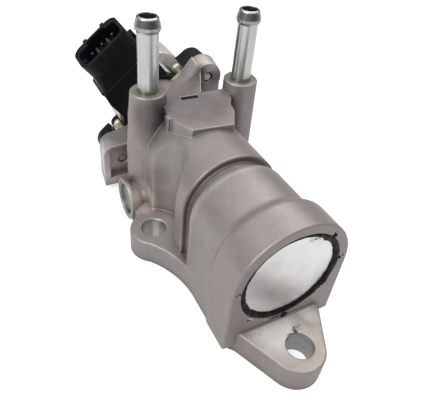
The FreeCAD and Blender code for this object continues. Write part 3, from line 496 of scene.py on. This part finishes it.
# Inner and outer reach of a bolt hole's wall, of a punch mark and of the stain round a pipe
HOLE_REACH = (HOLE_R + 0.05, HOLE_R + 0.12)
STAKE_REACH = (0.75, 1.15)
RIM_REACH = (4.0, 6.2)

# Stretches of the groove's darker wall along Y and of the pipes' stains along Z
WALL_SPAN = (0.08, 3.0)
RIM_SPAN = (BOSS_TOP - 0.4, BOSS_TOP + 0.5)


def casting_skin(p):
    """Warm grey with soft clouds and dark specks, and painted light: a little cooler where it faces
    left.
    """
    clouds = p.ramp(p.noise(17, detail=3), (0.34, (0.346, 0.297, 0.284)),
                    (0.50, (0.353, 0.313, 0.302)), (0.66, (0.340, 0.315, 0.304)))
    blotches = p.ramp(p.noise(4.0, detail=4, rough=0.65), (0.30, (0.95, 0.942, 0.94)),
                      (0.68, (1.05, 1.05, 1.05)))
    colour = p.mix(1.0, clouds, blotches, "MULTIPLY")
    colour = p.shade(colour, p.scale(p.noise(0.5, detail=3, rough=0.7), 0.95, 1.05, 0.3, 0.7))
    specks = p.scale(p.noise(0.7, shift=3.0), 0.0, 0.45, 0.64, 0.80)
    colour = p.mix(specks, colour, SPECK)
    # Painted light: faces turned to the left get a cooler tint, as if lit by cooler light from that
    # side
    return p.mix(p.facing("X", -0.30, -0.90), colour, (0.985, 1.0, 1.0), "MULTIPLY")


def shade_and_light_on_casting(p, colour, open_air):
    """Painted shade: darker and browner in the corners and crevices, and painted shade and light at the
    listed places.
    """
    # Painted shade in the corners and crevices, where the open air is low
    colour = p.shade(colour, p.scale(open_air, 0.52, 1.02, 0.2, 0.92))
    colour = p.mix(p.scale(open_air, 0.42, 0.0, 0.15, 0.7), colour, CORNER_SHADE)
    ragged = p.scale(p.noise(3.5, detail=3, shift=9.0), 0.6, 1.4)
    # Painted shade and painted light at the listed places
    for centre, inner, outer, level in SHADE_AND_LIGHT_SPOTS:
        place = p.times(p.spot(centre, inner, outer), ragged)
        colour = p.shade(colour, p.scale(place, 1.0, level))
    return colour


def groove_shade_and_highlight(p, colour):
    """Painted shade at the foot and a painted highlight on the lip of the groove behind the front
    barrel.
    """
    high = p.climb("Z", *GROOVE_RISE)
    # Painted shade at the groove's foot
    foot = p.times(p.band("Y", *GROOVE_FOOT, 0.7), high, p.scale(p.noise(2.5), 0.35, 0.75))
    colour = p.mix(foot, colour, GROOVE_SHADE)
    # Painted highlight on the groove's lip
    lip = p.times(p.band("Y", *GROOVE_RIDGE, 1.2), high, p.scale(p.noise(3.5), 0.1, 0.5))
    return p.mix(lip, colour, GROOVE_HIGHLIGHT)


def rubbed_and_highlit_edges(p, colour, open_air, rounded):
    """Lighter on the edges, partly wear from tumbling and partly a painted highlight, most on edges in
    the open.
    """
    away_from_corner = p.math("SUBTRACT", 1.0, p.spot(*LUG_CORNER))
    edge = p.times(p.edge_mask(rounded), p.scale(open_air, 0.05, 1.0, 0.40, 0.80),
                   p.scale(p.noise(3.0), 0.5, 1.6), away_from_corner)
    # Edges lighter, partly wear and partly a painted highlight
    return p.mix(edge, colour, RUBBED_AND_HIGHLIGHT)


def machined_ear(p):
    """Mask and colour of the front ear's milled top, lighter at some places partly from wear and partly
    as painted sheen.
    """
    ear = p.times(p.facing("Z", 0.96, 0.995), p.band("Z", BASE_TOP - 0.5, BASE_TOP + 0.3),
                  p.band("Y", *EAR_SPAN))
    # Lighter places, partly wear and partly painted sheen
    wear_and_sheen = p.most(*[p.spot(*place) for place in EAR_WEAR_AND_SHEEN])
    wear_and_sheen = p.times(wear_and_sheen, p.scale(p.noise(2.4, detail=4), 0.75, 1.3))
    metal = p.ramp(wear_and_sheen, (0.0, (0.37, 0.325, 0.30)), (0.45, (0.52, 0.475, 0.45)),
                   (0.9, (0.80, 0.765, 0.745)))
    strokes = p.scale(p.noise(0.6, detail=3, stretch=(1.0, 0.3, 1.0), shift=5.0), 0.94, 1.06, 0.3, 0.7)
    return ear, p.shade(metal, strokes)


def turned_mask(p):
    """Masks of the bolt holes' walls, and of them with the gasket face."""
    holes = p.most(*[p.spot((*hole, HOLE_MIDDLE), *HOLE_REACH, (1, 1, 0))
                     for hole in (FRONT_HOLE, REAR_HOLE)])
    gasket = p.times(p.facing("Z", -0.98, -0.999), p.climb("Z", 0.3, 0.0))
    return holes, p.most(holes, gasket)


def turned_metal(p, colour, holes, turned):
    """Turning rings on the bolt holes and the gasket face, and a painted highlight in the rear hole."""
    rings = p.scale(p.noise(0.35, detail=1, stretch=(0.03, 0.03, 1.0)), 0.0, 1.0, 0.3, 0.7)
    metal = p.ramp(rings, (0.0, (0.40, 0.385, 0.375)), (1.0, (0.58, 0.565, 0.555)))
    # Painted highlight on the rear hole's wall
    return p.mix(p.times(p.spot(*HOLE_GLINT), holes), p.mix(turned, colour, metal), GLINT)


def punch_marks(p, colour):
    """Scraped metal and squeezed sealant at the punch marks, and the groove's outer wall darker in
    patches.
    """
    rub = p.most(*[p.spot(around(math.radians(angle), STAKE_AT, STAKE_TIP), *STAKE_REACH)
                   for angle in STAKES])
    pinch = p.scale(p.noise(0.8), 0.0, 1.0, 0.42, 0.58)
    colour = p.mix(rub, colour, p.ramp(pinch, (0.0, SEALANT_BLACK), (1.0, BARE_METAL)))
    # The groove's outer wall is made darker in patches
    wall = p.times(p.spot((0.0, 0.0, AXIS_Z), GROOVE_OUT - 0.05, GROOVE_OUT, (1, 0, 1)),
                   p.band("Y", *WALL_SPAN, 0.05), p.scale(p.noise(1.2, detail=3), 0.35, 1.25))
    return p.mix(wall, colour, GROOVE_WALL_DARK)


def pipe_rims(p, colour):
    """Greenish stains on the bosses where the pipes were pressed in."""
    for pipe in PIPES:
        rim = p.times(p.spot((*pipe, BOSS_TOP), *RIM_REACH, (1, 1, 0)), p.band("Z", *RIM_SPAN),
                      p.scale(p.noise(1.6, detail=3), 0.0, 0.9, 0.3, 0.7))
        colour = p.mix(rim, colour, PRESSED_RIM)
    return colour


def ear_nick(p, colour, ear):
    """Dark nick on the front ear with a bruise round it."""
    bruise = p.times(p.spot(*NICK_BRUISE), ear, p.scale(p.noise(0.9, detail=3), 0.0, 1.2, 0.35, 0.65))
    colour = p.mix(bruise, colour, BRUISE)
    nick = p.most(*[p.spot(*place) for place in NICKS])
    return p.mix(p.times(nick, p.scale(p.noise(0.6), 0.4, 1.6)), colour, NICK_DARK)


def cast_aluminium():
    """Blasted and tumbled casting, turned bright where it was machined."""
    p = Paint("cast_aluminium")
    open_air = p.corners(4.5)
    rounded = p.round_edges(0.6)
    ear, ear_metal = machined_ear(p)
    holes, turned = turned_mask(p)
    colour = groove_shade_and_highlight(p, shade_and_light_on_casting(p, casting_skin(p), open_air))
    colour = rubbed_and_highlit_edges(p, colour, open_air, rounded)
    colour = p.mix(ear, colour, ear_metal)
    colour = punch_marks(p, turned_metal(p, colour, holes, turned))
    p.set("Base Color", ear_nick(p, pipe_rims(p, colour), ear))

    bright = p.most(p.times(ear, 0.15), turned)
    p.set("Metallic", p.scale(bright, 0.55, 0.90))
    matt = p.scale(p.noise(7, detail=3), 0.37, 0.50)
    p.set("Roughness", p.math("SUBTRACT", matt, p.times(bright, 0.12)))
    grain = p.math("ADD", p.noise(0.45, detail=3), p.times(p.noise(3.2), 2.2))
    p.set("Normal", p.bump(grain, depth=0.05, strength=0.6, normal=rounded))
    return p.material


# Dark smear near the top of the disc: centre, inner and outer reach, stretch
DISC_SMEAR = ((6.0, DISC_FACE, AXIS_Z + 13.4), 0.5, 1.8, (0.5, 1, 1))


def bright_disc():
    """Rolled aluminium disc with a soft cloudy shine, greyer low down by painted shade, and one dark
    smear.
    """
    p = Paint("bright_disc")
    metal = p.ramp(p.noise(13, detail=3), (0.30, (0.80, 0.775, 0.785)), (0.60, (0.98, 0.97, 0.975)))
    # Painted shade: greyer towards the bottom, as the shaded floor near the part shows in the disc
    shade_low_down = p.scale(p.climb("Z", 14.0, 36.0), 0.45, 0.0)
    metal = p.mix(shade_low_down, metal, (0.44, 0.415, 0.395))
    smear = p.times(p.spot(*DISC_SMEAR), p.scale(p.noise(0.9, detail=3), 0.0, 1.0, 0.4, 0.6))
    p.set("Base Color", p.mix(smear, metal, (0.16, 0.16, 0.17)))
    p.put(Metallic=0.92)
    p.set("Roughness", p.scale(p.noise(8), 0.24, 0.38))
    wave = p.math("ADD", p.noise(10, detail=1), p.times(p.noise(0.35), 0.03))
    p.set("Normal", p.bump(wave, depth=0.25, strength=0.35, normal=p.round_edges(0.4)))
    return p.material


def black_sealant():
    """Cured silicone, glossy on its crests and dusty in its dents."""
    p = Paint("black_sealant")
    p.set("Base Color", p.ramp(p.noise(1.1, detail=3), (0.40, (0.002, 0.002, 0.003)),
                               (0.80, (0.020, 0.020, 0.020))))
    p.set("Roughness", p.scale(p.noise(0.9), 0.30, 0.60))
    p.put(Specular_IOR_Level=0.16)
    p.set("Normal", p.bump(p.noise(0.5, detail=4, rough=0.65), depth=0.12, strength=0.8))
    return p.material


# Stretches of a pipe: the stained foot, and the bead that holds the hose, where painted shade goes
PIPE_FOOT = (BOSS_TOP + 4.3, BOSS_TOP - 0.1)
HOSE_BEAD = (PIPE_TOP - 4.2, PIPE_TOP - 1.0)


def zinc_plated_steel():
    """Drawn tube with bright zinc, faint streaks and a stained foot; the hose bead is darkened by
    painted shade and carries a painted brownish reflection on its left side.
    """
    p = Paint("zinc_plated_steel")
    streak = p.noise(0.8, stretch=(1, 1, 0.06))
    metal = p.ramp(streak, (0.25, (0.56, 0.585, 0.585)), (0.75, (0.72, 0.735, 0.725)))
    stain = p.times(p.climb("Z", *PIPE_FOOT), p.scale(p.noise(2.0, detail=3), 0.2, 1.5))
    metal = p.mix(stain, metal, (0.24, 0.27, 0.19))
    # Painted shade: the hose bead is darkened
    bead = p.times(p.band("Z", *HOSE_BEAD, 0.3), p.scale(p.noise(2.2), 0.35, 0.95))
    metal = p.mix(bead, metal, (0.30, 0.285, 0.285))
    # Painted reflection: a light brownish stripe on the side of the bead that faces left
    bead_reflection = p.times(p.facing("X", -0.62, -0.45), p.facing("X", -0.12, -0.30), bead)
    p.set("Base Color", p.mix(bead_reflection, metal, (0.66, 0.54, 0.50)))
    p.put(Metallic=1.0)
    p.set("Roughness", p.scale(p.noise(3.0), 0.20, 0.32))
    dents = p.math("ADD", streak, p.times(p.noise(5.0), 3.0))
    p.set("Normal", p.bump(dents, depth=0.008, strength=0.6, normal=p.round_edges(0.35)))
    return p.material


# Stretches of a sleeve: the turn from the painted highlight on the collar to the painted shade in front
# of it, and the painted shade at the rear end
SLEEVE_TURN = (CAP_FACE - 2.2, CAP_FACE - 3.4)
SLEEVE_SHADE_RING = (CAP_FACE - 0.6, CAP_FACE + 0.2)


def gold_plated_brass():
    """Plated brass with a painted highlight on the collar, painted shade in front of it and painted
    shade at its rear end.
    """
    p = Paint("gold_plated_brass")
    tone = p.noise(3.0)
    pale = p.ramp(tone, (0.3, (0.80, 0.73, 0.58)), (0.7, (0.92, 0.87, 0.75)))
    brown = p.ramp(tone, (0.3, (0.52, 0.42, 0.28)), (0.7, (0.68, 0.58, 0.42)))
    # Painted light and shade: pale gold on the collar, brown gold in front of it
    gold = p.mix(p.climb("Y", *SLEEVE_TURN), pale, brown)
    # Painted shade: the rear end, in the gap at the cap, is made nearly black
    p.set("Base Color", p.mix(p.band("Y", *SLEEVE_SHADE_RING, 0.12), gold, (0.030, 0.028, 0.026)))
    p.put(Metallic=0.55)
    p.set("Roughness", p.scale(p.noise(2.0), 0.30, 0.42))
    p.set("Normal", p.bump(p.noise(0.5), depth=0.01, strength=0.4, normal=p.round_edges(0.2)))
    return p.material


# Painted highlight lines across the motor's ears as stretches behind its flange, and painted highlights
# on the socket's ribs
EAR_HIGHLIGHT_LINES = ((1.6, 1.85), (5.0, 5.3))
SOCKET_RIB_HIGHLIGHTS = ((-23.1, 105.0, 56.0), (-19.0, 105.0, 59.5))


def black_plastic():
    """Glass filled moulding with a fine satin skin, edges lighter partly from rubbing and partly as
    painted highlight, and painted highlights on the ears and the socket's ribs.
    """
    p = Paint("black_plastic")
    rounded = p.round_edges(0.3)
    # Edges lighter, partly rubbed and partly a painted highlight
    edge = p.times(p.edge_mask(rounded), p.scale(p.noise(2.0), 0.2, 0.9), 0.35)
    skin = p.ramp(p.noise(6, detail=3), (0.3, (0.0035, 0.004, 0.006)), (0.7, (0.0065, 0.0075, 0.0105)))
    colour = p.mix(edge, skin, (0.040, 0.043, 0.050))
    # Painted highlight lines across the ears
    for start, end in EAR_HIGHLIGHT_LINES:
        line = p.times(p.band("Y", FLANGE_Y + start, FLANGE_Y + end, 0.1), 0.7)
        colour = p.mix(line, colour, (0.028, 0.030, 0.034))
    # Painted highlights on the socket's ribs
    for rib in SOCKET_RIB_HIGHLIGHTS:
        rib_highlight = p.times(p.spot(rib, 0.7, 1.5, (1.0, 0.3, 1.0)), 0.8)
        colour = p.mix(rib_highlight, colour, (0.075, 0.078, 0.085))
    p.set("Base Color", colour)
    p.set("Roughness", p.scale(p.noise(3.0, detail=3), 0.34, 0.50))
    p.put(Specular_IOR_Level=0.28)
    p.set("Normal", p.bump(p.noise(0.35, detail=3), depth=0.02, strength=0.35, normal=rounded))
    return p.material


# Dark sealed spot on the cap's front face: centre, inner and outer reach
CAP_SPOT = ((-13.5, CAP_FACE, 20.0), 4.5, 5.5)


def motor_cap_steel():
    """Plated cap over the motor, with a dark sealed spot; its front face, picked by the way it faces,
    is matt and plain grey as painted light.
    """
    p = Paint("motor_cap_steel")
    # Painted light: the face turned to the front is made matt and plain grey so that it looks lighter
    front = p.facing("Y", -0.90, -0.99)
    skin = p.ramp(p.noise(12, detail=3), (0.3, (0.76, 0.74, 0.725)), (0.7, (0.86, 0.85, 0.835)))
    skin = p.mix(front, skin, (0.80, 0.775, 0.76))
    sealed = p.times(p.spot(*CAP_SPOT), p.band("Y", CAP_FACE - 1.0, CAP_FACE + 1.2))
    p.set("Base Color", p.mix(sealed, skin, (0.012, 0.012, 0.014)))
    p.set("Metallic", p.scale(front, 0.6, 0.0))
    p.set("Roughness", p.math("ADD", p.scale(p.noise(4), 0.36, 0.48), p.times(front, 0.3)))
    p.set("Normal", p.bump(p.noise(0.5), depth=0.02, strength=0.4, normal=p.round_edges(2.2, CAP_RAYS)))
    return p.material


def dark_rubber():
    """Matt black rubber of the seals."""
    p = Paint("dark_rubber")
    p.set("Base Color", p.ramp(p.noise(2), (0.3, (0.012, 0.012, 0.012)),
                               (0.7, (0.03, 0.03, 0.03))))
    p.put(Roughness=0.6)
    return p.material


# Scale of the wave texture that draws the wires 0.45 mm apart
WINDING_SCALE = 700.0


def copper_winding():
    """Enamelled copper wire in even turns."""
    p = Paint("copper_winding")
    wave = p.tree.nodes.new("ShaderNodeTexWave")
    wave.bands_direction = "Y"
    wave.inputs["Scale"].default_value = WINDING_SCALE
    p.link(p.place, wave.inputs["Vector"])
    wires = wave.outputs["Fac"]
    p.set("Base Color", p.ramp(wires, (0.1, (0.20, 0.07, 0.03)), (0.9, (0.62, 0.28, 0.13))))
    p.put(Metallic=0.8, Roughness=0.35)
    p.set("Normal", p.bump(wires, depth=0.15, strength=0.8))
    return p.material


def plain_metal(name, dark, light, rough, metallic):
    """Turned or pressed metal part with fine grain."""
    p = Paint(name)
    p.set("Base Color", p.ramp(p.noise(4.0, detail=3), (0.3, dark), (0.7, light)))
    p.put(Metallic=metallic)
    p.set("Roughness", p.scale(p.noise(2.5), rough * 0.85, rough * 1.2))
    p.set("Normal", p.bump(p.noise(0.6), depth=0.01, strength=0.4, normal=p.round_edges(0.2)))
    return p.material


# Plain metals: dark and light colour, roughness, how metallic
METALS = {
    "dark_steel": ((0.26, 0.255, 0.25), (0.42, 0.415, 0.41), 0.34, 1.0),
    "stainless_steel": ((0.45, 0.44, 0.43), (0.60, 0.59, 0.58), 0.30, 1.0),
    "spring_steel": ((0.18, 0.18, 0.19), (0.32, 0.32, 0.33), 0.30, 1.0),
    "bush_bronze": ((0.42, 0.26, 0.11), (0.56, 0.37, 0.18), 0.35, 1.0),
    "screw_steel": ((0.42, 0.42, 0.41), (0.58, 0.58, 0.56), 0.32, 1.0),
    "tinned_pins": ((0.30, 0.29, 0.28), (0.42, 0.41, 0.40), 0.30, 1.0),
    "magnet": ((0.025, 0.025, 0.027), (0.06, 0.06, 0.065), 0.5, 0.3),
}


def make_materials():
    """Material of each slot in the record."""
    made = {name: plain_metal(name, *look) for name, look in METALS.items()}
    made["cast_aluminium"] = cast_aluminium()
    made["bright_disc"] = bright_disc()
    made["black_sealant"] = black_sealant()
    made["zinc_plated_steel"] = zinc_plated_steel()
    made["gold_plated_brass"] = gold_plated_brass()
    made["black_plastic"] = black_plastic()
    made["motor_cap_steel"] = motor_cap_steel()
    made["dark_rubber"] = dark_rubber()
    made["copper_winding"] = copper_winding()
    return made


def dress_nodes(materials):
    """Gives each CAD node the material of its slot."""
    for row in frame["record"]["subparts"]:
        piece = nodes[row["node"]]
        piece.data.materials.clear()
        piece.data.materials.append(materials[row["material_slot"]])


# Helpers for meshes

def join_rings(mesh, rings):
    """Joins rings of points that follow each other by quads."""
    for a, b in zip(rings, rings[1:]):
        for j in range(len(a)):
            k = (j + 1) % len(a)
            mesh.faces.new((a[j], b[j], b[k], a[k]))


def add_hoop(mesh, steps, section, axis=VALVE_AXIS):
    """Closed hoop round an axis; section gives its outline (radius, station) at an angle."""
    rings = []
    for i in range(steps):
        angle = 2 * math.pi * i / steps
        rings.append([mesh.verts.new(around(angle, radius, station, axis) * MM)
                      for radius, station in section(angle)])
    join_rings(mesh, rings + rings[:1])


def add_lump(mesh, centre, halves, fineness, uneven, grain, seed):
    """Uneven ball that is stretched to three half sizes, given as vectors; a seed varies it."""
    made = bmesh.ops.create_icosphere(mesh, subdivisions=fineness, radius=1.0)
    for vert in made["verts"]:
        way = vert.co.copy()
        swollen = 1.0 + uneven * noise.noise(way * grain + Vector((seed, 0, 0)))
        out = sum((half * part for half, part in zip(halves, way)), Vector())
        vert.co = (centre + out * swollen) * MM


def add_piece(name, mesh, material, node=None, body="housing"):
    """Turns a mesh into a piece that rides a body and may stand for a CAD node."""
    bmesh.ops.recalc_face_normals(mesh, faces=mesh.faces)
    data = bpy.data.meshes.new(name)
    mesh.to_mesh(data)
    mesh.free()
    data.polygons.foreach_set("use_smooth", [True] * len(data.polygons))
    data.materials.append(material)
    piece = add_object(name, data)
    if node:
        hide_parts(node)
    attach(piece, body)
    return piece


# Bead of sealant round the disc. Angles are in degrees, 0 at +X and 90 at the top.
BEAD_STEPS = 300
BEAD_IN = DISC_R - 0.35
BEAD_OUT = 17.0
BEAD_TALL = 0.42
BEAD_LEAST = 0.12

# Steps over the crest, and the power of its arch, which is fuller below 1
CREST_STEPS = 9
CREST_POWER = 0.8

# Where the bead is thin: angle, width. Where it swells inward, outward and forward: the same and
# the amount, which is below 0 where it shrinks.
THIN = (125, 75)
SWELLS_IN = ((*THIN, -0.25), (50, 7, 0.55), (-43, 5, 0.35), (-8, 4, 0.25))
SWELLS_OUT = ((*THIN, -0.85), (-30, 12, 0.35), (180, 30, -0.35))
SWELLS_UP = ((*THIN, -0.75), (185, 25, -0.3))

# Unevenness of the inner edge, coarse and fine, of the outer edge and of the height: amount, size
# in turns, seed
COARSE_EDGE = (0.16, 0.02, 1.0)
FINE_EDGE = (0.05, 0.006, 2.0)
OUTER_EDGE = (0.14, 0.03, 3.0)
UNEVEN_HEIGHT = (0.18, 0.025, 4.0)
NOISE_GAIN = 1.8

# Lumps on the crest: height, how fast they change per millimetre and per degree, seed
LUMP_TALL = 0.12
LUMP_GRAIN = (0.9, 0.12)
LUMP_SEED = 7.0

# Smears beside the bead: angle, distance from the axis, half width along and across, height, seed
SMEARS = (
    (-86, 18.3, 1.25, 0.95, 0.42, 3.0),
    (-97, 17.7, 2.2, 0.22, 0.22, 5.0),
    (47, 17.6, 0.8, 0.55, 0.25, 8.0),
    (6, 17.5, 0.7, 0.5, 0.22, 9.0),
)


def wobble(angle, amount, size, seed):
    """Smooth noise round the bead, from about -amount to amount."""
    spread = 1.0 / (2 * math.pi * size)
    place = Vector((math.cos(angle) * spread, math.sin(angle) * spread, seed))
    return noise.noise(place) * NOISE_GAIN * amount


def near(angle, centre, width):
    """1 where an angle in radians meets a centre in degrees, 0 from width degrees away."""
    off = abs((math.degrees(angle) - centre + 180) % 360 - 180)
    t = max(0.0, 1.0 - off / width)
    return t * t * (3 - 2 * t)


def swell(angle, swells):
    """Amount of all swells at an angle."""
    return sum(amount * near(angle, centre, width) for centre, width, amount in swells)


def bead_section(angle):
    """Closed outline (radius, depth) of the bead at an angle.

    It runs from the groove's bottom beside the disc over the crest to the groove's outer wall.
    The hundredths leave it just clear of disc and groove and sink its outer edge into the lip.
    """
    ragged = wobble(angle, *COARSE_EDGE) + wobble(angle, *FINE_EDGE)
    calm = 1 - near(angle, *THIN) / 2
    inner = BEAD_IN + ragged * calm - swell(angle, SWELLS_IN)
    outer = BEAD_OUT + wobble(angle, *OUTER_EDGE) + swell(angle, SWELLS_OUT)
    tall = BEAD_TALL * (1 + swell(angle, SWELLS_UP)) + wobble(angle, *UNEVEN_HEIGHT)
    tall = max(BEAD_LEAST, tall)
    rest = DISC_FACE - 0.04
    wall = GROOVE_LIP - max(0.0, outer - GROOVE_IN) + 0.02
    points = [(DISC_R + 0.04, GROOVE_DEEP - 0.05), (DISC_R + 0.02, DISC_FACE + 0.05),
              (inner, rest + 0.03)]
    for i in range(1, CREST_STEPS):
        t = i / CREST_STEPS
        radius = inner + (outer - inner) * t
        level = rest + (wall - rest) * t
        place = Vector((radius * LUMP_GRAIN[0], math.degrees(angle) * LUMP_GRAIN[1], LUMP_SEED))
        lump = LUMP_TALL * noise.noise(place)
        points.append((radius, level - math.sin(math.pi * t) ** CREST_POWER * (tall + lump)))
    points.append((outer, wall + 0.03))
    points.append((GROOVE_IN - 0.04, GROOVE_DEEP - 0.05))
    return points


def make_bead(material):
    """Lumpy bead that was pushed in by hand: thin at the upper left, full at the lower right."""
    mesh = bmesh.new()
    add_hoop(mesh, BEAD_STEPS, bead_section)
    for degrees, reach, long, wide, tall, seed in SMEARS:
        angle = math.radians(degrees)
        halves = (outward(angle + math.pi / 2) * long, Vector((0, tall, 0)), outward(angle) * wide)
        add_lump(mesh, around(angle, reach), halves, fineness=3, uneven=0.35, grain=1.4, seed=seed)
    add_piece("sealant_bead", mesh, material, "plug_sealant")


# Wall of a sleeve from its front end round to the collar: radius, distance behind the flange
SLEEVE_OUTLINE = (
    (1.35, 1.6), (1.75, 1.6), (1.9, 1.8), (1.9, 4.4), (2.12, 4.6), (2.12, 11.2), (2.02, 11.35),
    (2.02, 11.6), (2.30, 11.75), (2.42, 11.95), (2.42, 13.65), (2.28, 13.9), (2.1, 14.0),
    (1.5, 14.0), (1.35, 13.8),
)
SLEEVE_SIDES = 48


def sleeve_section(_angle):
    """Closed outline (radius, station) of a sleeve, the same at every angle."""
    return [(radius, FLANGE_Y + distance) for radius, distance in SLEEVE_OUTLINE]


def make_sleeves(material):
    """Both plated sleeves in one piece, each with a rounded collar at its rear."""
    mesh = bmesh.new()
    for axis in SLEEVES:
        add_hoop(mesh, SLEEVE_SIDES, sleeve_section, axis)
    add_piece("sleeves", mesh, material, "mounting_sleeves")


# Bright flakes that the punch raised: angle in degrees, distance from the axis, size
FLAKES = (
    (-37, 17.5, 0.42), (-40, 17.9, 0.34), (-34.5, 18.2, 0.30), (-42.5, 17.3, 0.26),
    (-38.5, 18.6, 0.24), (-132, 17.5, 0.42), (-135, 17.9, 0.32), (-128.5, 17.8, 0.26),
    (-126, 18.1, 0.22), (-96, 18.1, 0.32), (-92, 18.4, 0.24), (-104, 18.0, 0.24),
    (-110, 18.0, 0.20), (5, 18.3, 0.30), (8, 17.9, 0.24), (50, 18.6, 0.26), (52.5, 17.8, 0.2),
)

# Half sizes of a flake of size 1, and how far its middle lies behind the front face
FLAKE_HALVES = (Vector((1.3, 0, 0)), Vector((0, 0.55, 0)), Vector((0, 0, 0.8)))
FLAKE_SINK = 0.02


def make_flakes(material):
    """Small raised burrs beside the punch marks."""
    mesh = bmesh.new()
    for count, (degrees, reach, size) in enumerate(FLAKES):
        centre = around(math.radians(degrees), reach, FLAKE_SINK)
        halves = [half * size for half in FLAKE_HALVES]
        add_lump(mesh, centre, halves, fineness=2, uneven=0.7, grain=1.2, seed=count * 3.1)
    add_piece("punch_burrs", mesh, material)


# Steps along the spring's wire, and sides of the wire
SPRING_STEPS = 320
WIRE_SIDES = 14


def make_spring(material):
    """Coil spring of round wire in the place of the return spring."""
    low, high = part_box("return_spring")
    start = low[1] / MM + WIRE_R
    end = high[1] / MM - WIRE_R
    turns = SPRING_TURNS + 2 * SPRING_DEAD
    mesh = bmesh.new()
    rings = []
    for i in range(SPRING_STEPS + 1):
        turn = turns * i / SPRING_STEPS
        live = min(max((turn - SPRING_DEAD) / SPRING_TURNS, 0.0), 1.0)
        angle = 2 * math.pi * turn
        centre = around(angle, SPRING_R, start + (end - start) * live)
        ring = []
        for j in range(WIRE_SIDES):
            side = 2 * math.pi * j / WIRE_SIDES
            way = outward(angle) * math.cos(side) + Vector((0, math.sin(side), 0))
            ring.append(mesh.verts.new((centre + way * WIRE_R) * MM))
        rings.append(ring)
    join_rings(mesh, rings)
    mesh.faces.new(rings[0])
    mesh.faces.new(rings[-1])
    spring = add_piece("coil_spring", mesh, material, "return_spring")
    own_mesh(spring)


bpy.context.scene.view_settings.view_transform = "Standard"
make_camera()
make_world()
make_lamps()
make_floor()
materials = make_materials()
dress_nodes(materials)
make_bead(materials["black_sealant"])
make_sleeves(materials["gold_plated_brass"])
make_flakes(materials["bright_disc"])
make_spring(materials["spring_steel"])
